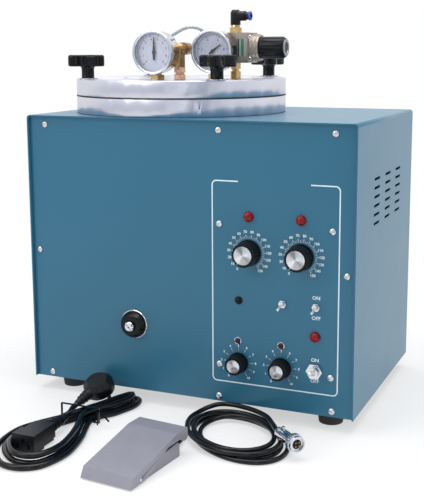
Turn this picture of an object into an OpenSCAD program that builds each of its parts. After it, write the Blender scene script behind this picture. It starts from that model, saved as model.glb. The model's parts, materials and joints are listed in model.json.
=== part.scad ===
// Benchtop vacuum wax injector: sheet-metal cabinet, clamped wax pot, air regulator on the lid,
// nozzle and control panel on the front, foot pedal on a coiled cable, mains lead in a tied hank.
// Millimetres. +Z is up and the front faces -Y. The origin lies on the floor, midway between
// the front of the pedal and the hose barb at the back.

/* [Cabinet] */
// Width of the cabinet
cab_w = 400; // [380:1:440]
// Depth of the cabinet
cab_d = 260; // [250:1:300]
// Height of the cabinet without its feet
cab_h = 318; // [300:1:360]
// Distance from the origin back to the middle of the cabinet
cab_y = 93; // [85:1:110]
// Thickness of the folded sheet
sheet_t = 1.6; // [1:0.1:2.5]
// Thickness of the front and back panels
panel_t = 2; // [1.5:0.1:3]
// How far the front and back panels sit inside the shell
panel_inset = 4; // [2:0.5:8]
// Outside radius of the shell's bends
bend_r = 4; // [2:0.5:8]
// Width of the flanges that the panels are screwed to
flange_w = 14; // [10:1:20]
// Height of the rubber feet
foot_h = 17; // [12:1:25]
// Diameter of the rubber feet at the cabinet
foot_d = 31; // [24:1:36]
// Distance from the cabinet's sides to the middle of each foot
foot_in = 34.5; // [28:0.5:45]
// Length of a vent slot
slot_l = 25; // [15:1:32]
// Height of a vent slot
slot_h = 3; // [2:0.5:4]
// Height between the rows of vent slots
slot_pitch = 10; // [7:0.5:12]
// Distance between the columns of vent slots
slot_col = 50; // [40:1:55]

/* [Fasteners] */
// Diameter of the panel screws' shanks
screw_d = 4; // [3:0.5:5]
// Diameter of the panel screws' heads
screw_head = 7; // [6:0.5:9]
// Clearance of a hole round a screw's shank
hole_gap = 0.3; // [0.2:0.05:0.5]

/* [Pot] */
// Left-right place of the pot's axis from the middle of the cabinet
pot_x = -60.6; // [-70:0.1:-50]
// Front-back place of the pot's axis from the middle of the cabinet
pot_y = 1.3; // [0:0.1:3]
// Outside radius of the pot's flange and of the lid
ring_r = 128.4; // [120:0.1:129]
// Thickness of the pot's flange
flange_t = 20; // [14:0.5:26]
// Thickness of the lid
lid_t = 20; // [14:0.5:26]
// Radius of the pot's bore
pot_r = 88; // [70:1:95]
// Wall of the pot
pot_wall = 4; // [3:0.5:6]
// Depth of the pot's bore
pot_depth = 276; // [255:1:285]
// Radius of the circle of clamp studs
stud_circle = 118; // [112:0.5:119]
// Diameter of the clamp studs
stud_d = 8; // [6:0.5:10]
// Distance from the pot's lip out to the middle of the gasket
gasket_out = 5; // [4:0.5:8]
// Diameter of the gasket's section
gasket_d = 5; // [3:0.5:6]

/* [Clamp knobs] */
// Reach of a clamp knob's lobes from its axis
star_r = 23.8; // [20:0.5:28]
// Diameter of a clamp knob's stem
star_stem_d = 15; // [13:0.5:18]
// Height of a clamp knob's stem
star_stem_h = 14.5; // [10:0.5:20]
// Thickness of a clamp knob's head
star_head_h = 13.5; // [9:0.5:18]

/* [Gauges and fittings] */
// Outside diameter of a gauge's bezel
gauge_d = 50; // [40:1:60]
// Depth of a gauge's case
gauge_depth = 22; // [20:1:23]
// Height of the gauges' middles above the lid
gauge_rise = 31; // [29:0.5:40]
// Left-right place of the pressure gauge
gauge1_x = -52; // [-55:0.5:-48]
// Front-back place of the pressure gauge's face
gauge1_y = -95; // [-98:0.5:-90]
// Left-right place of the regulator's gauge
gauge2_x = 2.7; // [1:0.1:5]
// Front-back place of the regulator gauge's face
gauge2_y = -54; // [-57:0.5:-50]
// Width across the flats of the brass fittings
hex_w = 13.5; // [12:0.5:15]
// Left-right place of the brass elbow
elbow_x = -31; // [-33:0.5:-29]
// Front-back place of the brass elbow
elbow_y = -66; // [-67:0.5:-60]
// Height of the elbow's arm above the lid
elbow_rise = 35; // [30:0.5:40]
// Outside diameter of the elbow's arm
elbow_d = 14.5; // [12:0.5:17]
// Outside diameter of the clear air tube
tube_d = 4; // [3:0.5:6]
// Bore of the clear air tube
tube_bore = 2.5; // [1.5:0.1:2.6]

/* [Regulator] */
// Left-right place of the regulator's ports
reg_x = 16; // [14:0.5:18]
// Front-back place of the regulator
reg_y = -10; // [-12:0.5:-6]
// Height of the regulator's middle above the lid
reg_rise = 36; // [34:0.5:45]
// Height and depth of the regulator's body
reg_h = 35; // [30:0.5:38]
// Length of the regulator's body along its knob
reg_l = 38; // [34:0.5:42]
// Diameter of the regulator's neck
reg_neck_d = 30; // [26:0.5:31]
// Length of the regulator's neck
reg_neck_l = 11; // [10:0.5:18]
// Diameter of the regulator's knob
reg_knob_d = 25.5; // [22:0.5:32]
// Length of the regulator's knob
reg_knob_l = 30; // [22:0.5:36]
// Diameter of the push-in elbow
push_d = 12; // [10:0.2:13]
// Height of the push-in elbow
push_h = 17.5; // [16:0.5:22]

/* [Nozzle] */
// Left-right place of the nozzle
nozzle_x = -64.8; // [-70:0.1:-60]
// Height of the nozzle above the pot's floor
nozzle_z = 15.4; // [13.5:0.1:30]
// Diameter of the nozzle's cap at the panel
cap_d = 32; // [26:0.5:34]
// Length of the nozzle's cap
cap_l = 9; // [8:0.5:14]
// Diameter of the nozzle's tip
tip_d = 11.5; // [9:0.5:13]
// How far the tip stands in front of the cap
tip_out = 5; // [4.5:0.5:8]
// How far the tip can be pressed in
tip_travel = 3; // [1:0.5:4]
// Diameter of the nozzle's bore
tip_bore = 2; // [1:0.5:4]

/* [Controls] */
// Diameter of the temperature knobs at the panel
big_knob_d = 29; // [24:0.5:32]
// Height of the temperature knobs
big_knob_h = 18; // [14:0.5:22]
// Diameter of the time knobs at the panel
small_knob_d = 23.5; // [18:0.5:26]
// Height of the time knobs
small_knob_h = 16; // [12:0.5:20]
// Diameter of the controls' shafts
shaft_d = 6; // [4:0.5:6]
// Diameter of the small toggles' bushings
mini_bush_d = 6; // [5:0.5:7]
// Diameter of the power toggle's bushing
power_bush_d = 12; // [10:0.5:12]
// Diameter of the red lamps
lamp_d = 11.5; // [9:0.5:14]
// Diameter of the small lamps
led_d = 9; // [7:0.5:10]
// Distance from the panel back to the control board
board_gap = 24; // [22:0.5:40]
// Thickness of the control board
board_t = 1.6; // [1:0.1:2.5]

/* [Pedal] */
// Left-right place of the middle of the tread's front edge
pedal_x = 14; // [8:0.5:20]
// Front-back place of the middle of the tread's front edge
pedal_y = -234.3; // [-240:0.1:-230]
// Turn of the pedal, clockwise seen from above
pedal_turn = 6.3; // [0:0.1:8]
// Width of the tread
pedal_w = 59.5; // [54:0.5:70]
// Length of the tread's slope
slope_l = 77; // [72:0.5:90]
// Length of the flat behind the slope
heel_l = 20; // [15:0.5:25]
// Height of the tread's front edge
toe_h = 11.8; // [10.5:0.1:14]
// Height of the tread's back
heel_h = 27.9; // [26:0.1:32]
// Wall of the pedal's castings
pedal_wall = 2.5; // [2:0.1:3.5]
// Diameter of the pedal's hinge pin
pin_d = 3; // [2.5:0.1:4]

/* [Cables] */
// Diameter of the pedal's cable
cable_d = 5.4; // [5:0.1:5.6]
// Diameter of the mains lead
lead_d = 6.6; // [6:0.1:6.8]

/* [Hidden] */
$fn = 64;

// Levels, from the floor up
cab_bottom = foot_h;
cab_top = cab_bottom + cab_h;
ring_gap = 0.6;
flange_z = cab_top + ring_gap;
flange_top = flange_z + flange_t;
lid_gap = 0.4;
lid_z = flange_top + lid_gap;
lid_top = lid_z + lid_t;

// Planes, from the cabinet's middle, in its own front-back direction
front_face = -cab_d / 2 + panel_inset;
front_back = front_face + panel_t;
rear_face = cab_d / 2 - panel_inset;
rear_back = rear_face - panel_t;
inner_w = cab_w / 2 - sheet_t;
fit = 0.2;

pot_outer = pot_r + pot_wall;
pot_lip_r = pot_outer + 4;
pot_lip_t = 4;
pot_floor_z = flange_top - pot_depth;
nozzle_level = pot_floor_z + nozzle_z;
gasket_mid = pot_lip_r + gasket_out;
stud_hole_gap = 0.5;
run_gap = 0.08;
star_angles = [45, 135, 225, 315];
star_turns = [60, 20, 350, 285];
stud_top = lid_top + star_stem_h + 4;

gauge_case_d = gauge_d - 2;
gauge_z = lid_top + gauge_rise;
gauge_wall = 1.5;
bezel_l = 7;
dial_in = 5;
needle_d = 2;
gauge_hex_w = hex_w + 2;
gauge_hex_h = 5.5;
gauge_stem_y = gauge1_y + gauge_depth / 2 + 2;

reg_z = lid_top + reg_rise;
reg_left = reg_x - 0.42 * reg_l;
reg_right = reg_left + reg_l;
reg_bore_d = 8;
reg_cap_l = 5;
inlet_hex_h = 9;
spigot_d = 6;
spigot_l = 5;
tube_x = -84;
tube_y = -20;
push_z = reg_z + reg_h / 2 + inlet_hex_h;
push_arm_z = push_z + push_h - push_d / 2 - 1.2;
push_arm_l = 17;

// Places on the front panel: [left-right, height above the cabinet's bottom]
edge_in_x = 22.5;
edge_in_top = 10.8;
edge_in_low = 6.5;
edge_mid_z = 157.3;
edge_mid_x = 43.2;
side_in_x = 10;
panel_marks = [[-cab_w / 2 + edge_in_x, cab_h - edge_in_top], [edge_mid_x, cab_h - edge_in_top],
    [cab_w / 2 - 24.8, cab_h - edge_in_top], [-cab_w / 2 + side_in_x, edge_mid_z],
    [cab_w / 2 - side_in_x, edge_mid_z], [-cab_w / 2 + edge_in_x, edge_in_low],
    [edge_mid_x, edge_in_low], [cab_w / 2 - 24.8, edge_in_low]];
unit_x = cab_w / 2 - 91.4;
board_marks = [for (x = [-64.7, 64.9], z = [204, 44]) [unit_x + x, z]];
big_knobs = [[unit_x - 30, 174], [unit_x + 30, 174]];
small_knobs = [[unit_x - 42.1, 48], [unit_x + 8.4, 48]];
mini_toggles = [[unit_x + 9.7, 120.5], [unit_x + 47.7, 120.5]];
power_toggle = [unit_x + 47, 49.6];
red_lamps = [[unit_x - 30, 213.8], [unit_x + 30, 213.8], [unit_x + 47.1, 87.7]];
led_marks = [[unit_x - 41.6, 119.6], [unit_x - 42.3, 73.6], [unit_x + 8.4, 73.5]];

pedal_hinge_v = 11.7;
pedal_hinge_z = 5;
pedal_toe = 5.7;
pedal_top_l = slope_l + heel_l;
pedal_base_w = pedal_w - 2 * pedal_wall - 1.6;
pedal_base_back = slope_l + 9;
pedal_way = [sin(pedal_turn), cos(pedal_turn), 0];
pedal_side = [cos(pedal_turn), -sin(pedal_turn), 0];
function pedal_point(u, v, z) = [pedal_x, pedal_y - cab_y, z] + u * pedal_side + v * pedal_way;
pedal_exit_u = 14;
pedal_exit_z = 5.4;
gland_l = 8;

// Layers and turns of the pedal cable's coil, which winds inward below and outward above
coil_mid = [87.5, -183];
coil_turn = 139;
coil_from = 45;
coil_long = 50.5;
coil_short = 36;
coil_long_step = 10.4;
coil_short_step = 6.1;
coil_z = cable_d / 2 + 0.1;
coil_layer = cable_d + 0.5;
coil_end = 4.39;
coil_rings = 24;

function ease(a, b, x) = x <= a ? 0 : x >= b ? 1 : (1 - cos(180 * (x - a) / (b - a))) / 2;
function coil_row(t) = 2 - ease(0.55, 0.9, t) - ease(1.55, 1.9, t) + ease(2.6, 2.95, t)
    + ease(3.6, 3.95, t) - 1.8 * ease(4.15, 4.39, t);
function coil_lift(t) = ease(1.98, 2.3, t) + ease(4.06, 4.2, t) + 0.6 * ease(4.2, 4.39, t);
function coil_at(t) =
    let (w = coil_from - 360 * t, x = (coil_long + coil_long_step * coil_row(t)) * cos(w),
        y = (coil_short + coil_short_step * coil_row(t)) * sin(w))
    [coil_mid[0] + x * cos(coil_turn) - y * sin(coil_turn),
        coil_mid[1] + x * sin(coil_turn) + y * cos(coil_turn), coil_z + coil_layer * coil_lift(t)];

// The plug of the pedal's cable lies on the coil
plug_turn = -40.8;
plug_z = 18.2;
plug_start = [137.4, -188.3, plug_z];
plug_way = [cos(plug_turn), sin(plug_turn), 0];
coil_way = unit(coil_at(0.01) - coil_at(0));
coil_start = coil_at(0) - cable_d * coil_way;
coil_path = concat([coil_start], [for (i = [0:floor(coil_end * coil_rings)]) coil_at(i / coil_rings)],
    [[121.5, -166.5, plug_z - 1], [128, -176.8, plug_z]], [plug_start - cable_d * plug_way, plug_start]);

// Points of the pedal cable between its gland and the coil, chosen by hand
cable_start = pedal_point(pedal_exit_u, pedal_base_back + gland_l, pedal_exit_z);
cable_path = concat([cable_start, cable_start + cable_d * pedal_way],
    [[37.5, -218, 4.2], [34.8, -206, 3.3], [31.6, -194, 2.9]],
    [coil_start - cable_d * coil_way, coil_start]);

// Outline of the hank, clockwise from its left waist, chosen by hand
hank_marks = [[-100, -200], [-91, -172], [-82.5, -146], [-72, -126], [-59, -127], [-56, -147],
    [-66, -176], [-78, -206], [-65, -245], [-56, -290], [-67, -326], [-97, -331], [-126, -300],
    [-131, -255], [-113, -221]];
hank_step = lead_d + 0.6;
hank_z = lead_d / 2 + 0.1;
hank_layer = lead_d + 1.3;
hank_rings = 2 * len(hank_marks);
hank_end = 2.9334;

function bend(p, q, r, s, u) = 0.5 * (2 * q + (r - p) * u + (2 * p - 5 * q + 4 * r - s) * u * u
    + (3 * q - p - 3 * r + s) * u * u * u);
function mark(i) = hank_marks[(i + len(hank_marks)) % len(hank_marks)];
function outline(t) =
    let (f = t * len(hank_marks), i = floor(f)) bend(mark(i - 1), mark(i), mark(i + 1), mark(i + 2), f - i);
function hank_row(t) = 1 - ease(1.7, 1.84, t) - ease(2.62, 2.76, t);
function hank_lift(t) = 1 - ease(0.78, 0.9, t);
function hank_raise(y) = 1.1 * (ease(-225, -206, y) - ease(-194, -175, y));
function hank_at(t) =
    let (p = outline(t), w = unit(outline(t + 0.01) - outline(t - 0.01)),
        q = p + hank_step * hank_row(t) * [w[1], -w[0]])
    [q[0], q[1], hank_z + hank_layer * hank_lift(t) + hank_raise(q[1])];

socket_face = [-100.1, -302.8];
lead_start = [-99.5, -223, hank_z + hank_layer + 0.4];
lead_way = unit([lead_start[0] - socket_face[0], lead_start[1] - socket_face[1], 0]);
wall_turn = 18;
wall_tilt = 25;
wall_arm = 35;
wall_mid = 8;
wall_face = [-99.5, -147.5, 17.4];
wall_way = [sin(wall_turn), cos(wall_turn) * cos(wall_tilt), cos(wall_turn) * sin(wall_tilt)];
lead_end = wall_face + wall_mid * [0, -sin(wall_tilt), cos(wall_tilt)] - wall_arm * wall_way;
hank_path = concat([lead_start, lead_start + lead_d * lead_way],
    [for (i = [0:floor(hank_end * hank_rings + 0.01)]) hank_at(i / hank_rings)],
    [[-112.8, -207, 4.3], [-110.6, -196.5, 5.9]],
    [lead_end - lead_d * wall_way, lead_end]);

module at_cabinet() { translate([0, cab_y, 0]) children(); }
module on_panel(p) { translate([p[0], front_face, cab_bottom + p[1]]) children(); }
module forward() { rotate([90, 0, 0]) children(); }
module hexagon(w, h) { cylinder(d = w / cos(30), h = h, $fn = 6); }
module ring(r_out, r_in, h) {
    difference() {
        cylinder(r = r_out, h = h);
        translate([0, 0, -1]) cylinder(r = r_in, h = h + 2);
    }
}

// ---- Cabinet ----

module shell_outline(inset) {
    w = cab_w / 2 - inset;
    r = max(bend_r - inset, 0.5);
    union() {
        translate([-w, cab_bottom]) square([2 * w, cab_h - inset - r]);
        translate([-w + r, cab_bottom]) square([2 * (w - r), cab_h - inset]);
        for (s = [-1, 1]) translate([s * (w - r), cab_top - inset - r]) circle(r = r);
    }
}

module panel_flange(y) {
    translate([0, y + sheet_t, 0]) forward() linear_extrude(sheet_t) difference() {
        shell_outline(sheet_t);
        translate([-inner_w + flange_w, cab_bottom - 1])
            square([2 * (inner_w - flange_w), cab_h - flange_w - sheet_t + 1]);
        translate([-inner_w - 1, cab_bottom - 1])
            square([2 * inner_w + 2, sheet_t + fit + 1]);
    }
}

module panel_holes(marks, d) {
    for (p = marks)
        translate([p[0], cab_d, cab_bottom + p[1]]) forward() cylinder(d = d, h = 2 * cab_d);
}

module cabinet_shell() {
    color([0.25, 0.45, 0.58]) at_cabinet() difference() {
        union() {
            translate([0, cab_d / 2, 0]) forward() linear_extrude(cab_d) difference() {
                shell_outline(0);
                difference() {
                    shell_outline(sheet_t);
                    translate([-cab_w, cab_top - sheet_t]) square([2 * cab_w, sheet_t]);
                }
                translate([-inner_w, cab_bottom - 1]) square([2 * inner_w, 2]);
            }
            panel_flange(front_back + fit);
            panel_flange(rear_back - sheet_t - fit);
        }
        translate([pot_x, pot_y, cab_top - 3 * sheet_t])
            cylinder(r = pot_outer + 5, h = 5 * sheet_t, $fn = 128);
        panel_holes(panel_marks, screw_d + hole_gap);
        for (c = [-1:1], row = [0:5])
            translate([0, 4.5 + c * slot_col, cab_bottom + 202 + row * slot_pitch]) rotate([0, 90, 0])
                vent_slot();
    }
}

module vent_slot() {
    translate([0, 0, -cab_w]) union() {
        translate([-slot_h / 2, -(slot_l - slot_h) / 2, 0]) cube([slot_h, slot_l - slot_h, 2 * cab_w]);
        for (s = [-1, 1])
            translate([0, s * (slot_l - slot_h) / 2, 0]) cylinder(d = slot_h, h = 2 * cab_w, $fn = 24);
    }
}

module base_plate() {
    w = inner_w - fit;
    d = rear_back - front_back - 2 * fit;
    color([0.5, 0.52, 0.55]) at_cabinet() difference() {
        translate([0, 0, cab_bottom]) union() {
            translate([-w, -d / 2, 0]) cube([2 * w, d, sheet_t]);
            for (s = [-1, 1]) {
                translate([s * (w - sheet_t / 2) - sheet_t / 2, -d / 2 + 3, 0])
                    cube([sheet_t, d - 6, flange_w]);
                translate([-w + flange_w + 1, s * (d - sheet_t) / 2 - sheet_t / 2, 0])
                    cube([2 * (w - flange_w - 1), sheet_t, flange_w]);
            }
        }
        panel_holes(panel_marks, screw_d + hole_gap);
        for (x = [-1, 1], y = [-1, 1])
            translate([x * (cab_w / 2 - foot_in), y * (cab_d / 2 - foot_in), 0])
                cylinder(d = screw_d + hole_gap, h = cab_h);
    }
}

module plain_panel(y) {
    translate([0, y + panel_t, 0]) forward() linear_extrude(panel_t) shell_outline(sheet_t + fit);
}

module front_panel() {
    color([0.27, 0.5, 0.63]) at_cabinet() difference() {
        plain_panel(front_face);
        panel_holes(concat(panel_marks, board_marks), screw_d + hole_gap);
        panel_holes(concat(big_knobs, small_knobs), shaft_d + 4 + 2 * fit);
        panel_holes(mini_toggles, mini_bush_d + 2 * fit);
        panel_holes([power_toggle], power_bush_d + 2 * fit);
        panel_holes(red_lamps, lamp_d - 3 + 2 * fit);
        panel_holes(led_marks, led_d - 3 + 2 * fit);
        panel_holes([[nozzle_x, nozzle_level - cab_bottom]], nozzle_hole_d);
    }
}

inlet_place = [70 - cab_w / 2, 60];
socket_place = [140 - cab_w / 2, 55];
port_place = [cab_w / 2 - 90, 60];
socket_d = 16;
port_d = 10;

module back_panel() {
    color([0.27, 0.5, 0.63]) at_cabinet() difference() {
        plain_panel(rear_back);
        panel_holes(panel_marks, screw_d + hole_gap);
        translate([inlet_place[0] - 14, rear_back - 1, cab_bottom + inlet_place[1] - 24])
            cube([28, panel_t + 2, 48]);
        panel_holes([socket_place], socket_d + 2 * fit);
        panel_holes([port_place], port_d + 2 * fit);
        for (row = [0:5]) translate([port_place[0], 0, cab_bottom + 190 + row * slot_pitch])
            rotate([0, 90, 90]) vent_slot();
    }
}

module rubber_feet() {
    color([0.05, 0.05, 0.05]) at_cabinet()
        for (x = [-1, 1], y = [-1, 1])
            translate([x * (cab_w / 2 - foot_in), y * (cab_d / 2 - foot_in), 0]) difference() {
                cylinder(d1 = foot_d - 4, d2 = foot_d, h = foot_h);
                translate([0, 0, -1]) cylinder(d = screw_head + 1, h = foot_h / 2 + 1);
                cylinder(d = screw_d + hole_gap, h = foot_h + 1);
            }
}

module pan_screw(length) {
    difference() {
        union() {
            intersection() {
                translate([0, 0, 0]) cylinder(d = screw_head, h = screw_head * 0.34);
                translate([0, 0, -screw_head * 0.46]) sphere(r = screw_head * 0.8);
            }
            translate([0, 0, -length]) cylinder(d = screw_d, h = length);
        }
        for (a = [0, 90]) rotate(a) translate([-screw_head * 0.3, -0.5, screw_head * 0.18])
            cube([screw_head * 0.6, 1, screw_head]);
    }
}

module panel_screws() {
    reach = panel_t + sheet_t + fit + 3;
    color([0.8, 0.8, 0.82]) at_cabinet() {
        for (p = panel_marks) on_panel(p) forward() pan_screw(reach);
        for (p = board_marks) on_panel(p) forward() pan_screw(board_gap + panel_t + board_t + 4);
        for (p = panel_marks)
            translate([p[0], rear_face, cab_bottom + p[1]]) rotate([-90, 0, 0]) pan_screw(reach);
        for (x = [-1, 1], y = [-1, 1])
            translate([x * (cab_w / 2 - foot_in), y * (cab_d / 2 - foot_in), foot_h / 2]) mirror([0, 0, 1])
                pan_screw(foot_h / 2 + sheet_t + 4);
    }
}

// ---- Pot and lid ----

module at_pot(z) { translate([pot_x, cab_y + pot_y, z]) children(); }

pot_boss_d = 26;
feed_bore = 8;
block_front = front_back + fit;
block_back = pot_y - pot_outer - 5;

module wax_pot() {
    color([0.75, 0.76, 0.78]) difference() {
        union() {
            at_pot(pot_floor_z - pot_wall) cylinder(r = pot_outer, h = pot_depth + pot_wall, $fn = 128);
            at_pot(flange_top - pot_lip_t) cylinder(r = pot_lip_r, h = pot_lip_t, $fn = 128);
            translate([nozzle_x, cab_y + pot_y - pot_r - 1, nozzle_level]) forward()
                cylinder(d = pot_boss_d, h = pot_wall + 4);
        }
        at_pot(pot_floor_z) cylinder(r = pot_r, h = pot_depth + 1, $fn = 128);
        translate([nozzle_x, cab_y + pot_y - pot_r + 10, nozzle_level]) forward()
            cylinder(d = feed_bore, h = 40);
    }
}

module pot_flange() {
    color([0.8, 0.81, 0.83]) difference() {
        union() {
            at_pot(flange_z) cylinder(r = ring_r, h = flange_t, $fn = 160);
            at_pot(cab_top) cylinder(r = ring_r - 3, h = ring_gap, $fn = 128);
        }
        at_pot(cab_top - 1) cylinder(r = pot_outer + fit, h = flange_t + 3, $fn = 128);
        at_pot(flange_top - pot_lip_t) cylinder(r = pot_lip_r + fit, h = pot_lip_t + 1, $fn = 128);
        at_pot(flange_top - gasket_d * 0.7)
            ring(gasket_mid + gasket_d / 2 + fit, gasket_mid - gasket_d / 2 - fit, gasket_d);
        for (a = star_angles) at_pot(flange_z + 5)
            rotate(a) translate([stud_circle, 0, 0]) cylinder(d = stud_d + 2 * fit, h = flange_t);
        at_pot(flange_z + flange_t / 2) rotate(-56) translate([ring_r - 6, 0, 0]) rotate([0, 90, 0])
            cylinder(d = 2, h = 10);
    }
}

module lid_gasket() {
    color([0.75, 0.3, 0.2]) at_pot(0) rotate_extrude($fn = 128)
        translate([gasket_mid - gasket_d / 2, flange_top - gasket_d * 0.7])
            square([gasket_d, gasket_d * 0.7 + lid_gap - 0.1]);
}

module heater_band() {
    band_h = 70;
    color([0.6, 0.6, 0.55]) at_pot(pot_floor_z + 45) {
        difference() {
            ring(pot_outer + fit + 3, pot_outer + fit, band_h);
            rotate(90) translate([pot_outer - 5, -4, -1]) cube([20, 8, band_h + 2]);
        }
        for (s = [-1, 1]) rotate(90 + s * 4.2) translate([pot_outer + fit + 2.8, -1.5, 10])
            cube([9, 3, band_h - 20]);
    }
}

module lid_plate() {
    color([0.82, 0.83, 0.85]) difference() {
        at_pot(lid_z) union() {
            cylinder(r = ring_r - 0.8, h = lid_t, $fn = 160);
            translate([0, 0, 0.8]) cylinder(r = ring_r, h = lid_t - 1.6, $fn = 160);
        }
        for (a = star_angles) at_pot(lid_z - 1) rotate(a) translate([stud_circle, 0, 0])
            cylinder(d = stud_d + 2 * stud_hole_gap, h = lid_t + 2);
        at_pot(lid_top - 2) ring(72, 68, 3);
        for (p = lid_ports) translate([p[0], cab_y + p[1], lid_z - 1]) cylinder(d = 6, h = lid_t + 2);
    }
}

lid_ports = [[gauge1_x, gauge_stem_y], [elbow_x, elbow_y], [reg_x, reg_y], [tube_x, tube_y]];

module lid_studs() {
    color([0.75, 0.76, 0.78]) for (a = star_angles) at_pot(flange_z + 5)
        rotate(a) translate([stud_circle, 0, 0]) {
            cylinder(d = stud_d, h = stud_top - flange_z - 5 - 1);
            translate([0, 0, stud_top - flange_z - 6]) cylinder(d1 = stud_d, d2 = stud_d - 2, h = 1);
        }
}

module star_knob(i) {
    color([0.06, 0.06, 0.07]) at_pot(lid_top + fit) rotate(star_angles[i])
        translate([stud_circle, 0, 0]) rotate(star_turns[i] - star_angles[i]) difference() {
            union() {
                cylinder(d = star_stem_d, h = star_stem_h + 2);
                translate([0, 0, star_stem_h]) star_head();
            }
            translate([0, 0, -1]) cylinder(d = stud_d + 2 * stud_hole_gap, h = stud_top - lid_top + 2);
        }
}

module star_head() {
    lobe_r = star_r * 0.33;
    reach = star_r - lobe_r;
    intersection() {
        union() {
            cylinder(r = star_r * 0.46, h = star_head_h);
            for (a = [0, 120, 240]) rotate(a) {
                translate([reach, 0, 1]) cylinder(r = lobe_r, h = star_head_h - 3);
                translate([reach, 0, 0]) cylinder(r1 = lobe_r - 1.2, r2 = lobe_r, h = 1);
                translate([reach, 0, star_head_h - 2]) cylinder(r1 = lobe_r, r2 = lobe_r - 2, h = 2);
                translate([0, -lobe_r * 0.8, 0.5]) cube([reach, lobe_r * 1.6, star_head_h - 2]);
            }
        }
        cylinder(r = star_r + 1, h = star_head_h);
    }
}

module star_knob_1() { star_knob(0); }
module star_knob_2() { star_knob(1); }
module star_knob_3() { star_knob(2); }
module star_knob_4() { star_knob(3); }

// ---- Gauges ----

module gauge_case() {
    difference() {
        union() {
            rotate([-90, 0, 0]) cylinder(d = gauge_case_d, h = gauge_depth, $fn = 96);
            rotate([-90, 0, 0]) cylinder(d = gauge_d, h = bezel_l, $fn = 96);
        }
        translate([0, -1, 0]) rotate([-90, 0, 0])
            cylinder(d = gauge_d - 2 * gauge_wall - 3, h = dial_in + 3.5, $fn = 96);
        translate([0, 1, 0]) rotate([-90, 0, 0])
            cylinder(d = gauge_d - 2 * gauge_wall - 1, h = 1.4, $fn = 96);
    }
}

module gauge_places() {
    translate([gauge1_x, cab_y + gauge1_y, gauge_z]) children();
    translate([gauge2_x, cab_y + gauge2_y, gauge_z + 1]) children();
}

module gauge_cases() {
    color([0.85, 0.86, 0.88]) {
        gauge_places() gauge_case();
        translate([gauge1_x, cab_y + gauge_stem_y, lid_top + gauge_hex_h])
            cylinder(d = 11, h = gauge_rise - gauge_hex_h - gauge_case_d / 2 + 1);
        translate([gauge2_x, cab_y + gauge2_y + gauge_depth / 2 + 2, lid_top + gauge_hex_h])
            cylinder(d = 11, h = gauge_rise - gauge_hex_h - gauge_case_d / 2 + 2);
    }
}

module gauge_dials() {
    color([0.95, 0.97, 1]) gauge_places() translate([0, dial_in + 1.7, 0]) rotate([-90, 0, 0]) difference() {
        cylinder(d = gauge_d - 2 * gauge_wall - 3.6, h = 0.8, $fn = 96);
        translate([0, 0, -1]) cylinder(d = needle_d + 2 * run_gap, h = 3);
    }
}

module gauge_windows() {
    color([0.9, 0.95, 1, 0.3]) gauge_places() translate([0, 1.1, 0]) rotate([-90, 0, 0])
        cylinder(d = gauge_d - 2 * gauge_wall - 1.6, h = 1.2, $fn = 96);
}

module needle(reach, tail, turn) {
    rotate([0, turn, 0]) translate([0, dial_in - 0.6, 0]) rotate([-90, 0, 0]) {
        cylinder(d = 4.4, h = 1.2);
        cylinder(d = needle_d, h = 3);
        translate([0, 0, 0.2]) linear_extrude(0.6)
            polygon([[-1.5, 0], [-0.35, -reach], [0.35, -reach], [1.5, 0], [1.1, tail], [-1.1, tail]]);
    }
}

module pressure_needle() {
    color([0.1, 0.1, 0.1]) translate([gauge1_x, cab_y + gauge1_y, gauge_z]) needle(17, 9, 0);
}

module regulator_needle() {
    color([0.1, 0.1, 0.1]) translate([gauge2_x, cab_y + gauge2_y, gauge_z + 1]) needle(13, 5, 52);
}

// ---- Fittings on the lid ----

module brass_fittings() {
    color([0.75, 0.6, 0.3]) {
        translate([gauge1_x, cab_y + gauge_stem_y, lid_top]) hexagon(gauge_hex_w, gauge_hex_h);
        translate([gauge2_x, cab_y + gauge2_y + gauge_depth / 2 + 2, lid_top])
            hexagon(gauge_hex_w, gauge_hex_h);
        reg_foot = reg_rise - reg_h / 2;
        translate([reg_x, cab_y + reg_y, lid_top]) {
            hexagon(hex_w - 2, reg_foot * 0.45);
            cylinder(d = 9, h = reg_foot);
            translate([0, 0, reg_foot * 0.6]) hexagon(hex_w - 2, reg_foot * 0.4);
        }
        translate([reg_x, cab_y + reg_y, reg_z + reg_h / 2]) {
            hexagon(hex_w, inlet_hex_h - 3);
            cylinder(d = push_d - 1, h = inlet_hex_h);
            cylinder(d = spigot_d, h = inlet_hex_h + spigot_l);
        }
        translate([elbow_x, cab_y + elbow_y + elbow_arm_l - 6, lid_top + elbow_rise]) rotate([-90, 0, 0]) {
            cylinder(d = elbow_d - 5, h = 7);
            translate([0, 0, 6.2]) hexagon(elbow_d - 2, 4);
        }
        translate([tube_x, cab_y + tube_y, lid_top]) {
            hexagon(10, 5);
            cylinder(d = tube_bore - 0.1, h = 10);
        }
    }
}

elbow_arm_l = 19;
nut_h = 14;
nut_w = 12.6;

module brass_elbow() {
    color([0.78, 0.58, 0.3]) translate([elbow_x, cab_y + elbow_y, lid_top]) difference() {
        union() {
            translate([0, 0, nut_h]) cylinder(d = nut_w, h = elbow_rise - nut_h);
            translate([0, 0, elbow_rise]) sphere(d = elbow_d - 1);
            translate([0, 0, elbow_rise]) rotate([-90, 0, 0]) cylinder(d = elbow_d - 2, h = elbow_arm_l);
            translate([0, 8, elbow_rise]) rotate([-90, 0, 0]) cylinder(d = elbow_d, h = elbow_arm_l - 8);
        }
        translate([0, 0, nut_h - 1]) cylinder(d = 6, h = elbow_rise - nut_h + 1);
        translate([0, 0, elbow_rise]) rotate([-90, 0, 0]) cylinder(d = 6, h = elbow_arm_l);
        translate([0, elbow_arm_l - 6, elbow_rise]) rotate([-90, 0, 0]) cylinder(d = elbow_d - 5, h = 8);
    }
}

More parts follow.
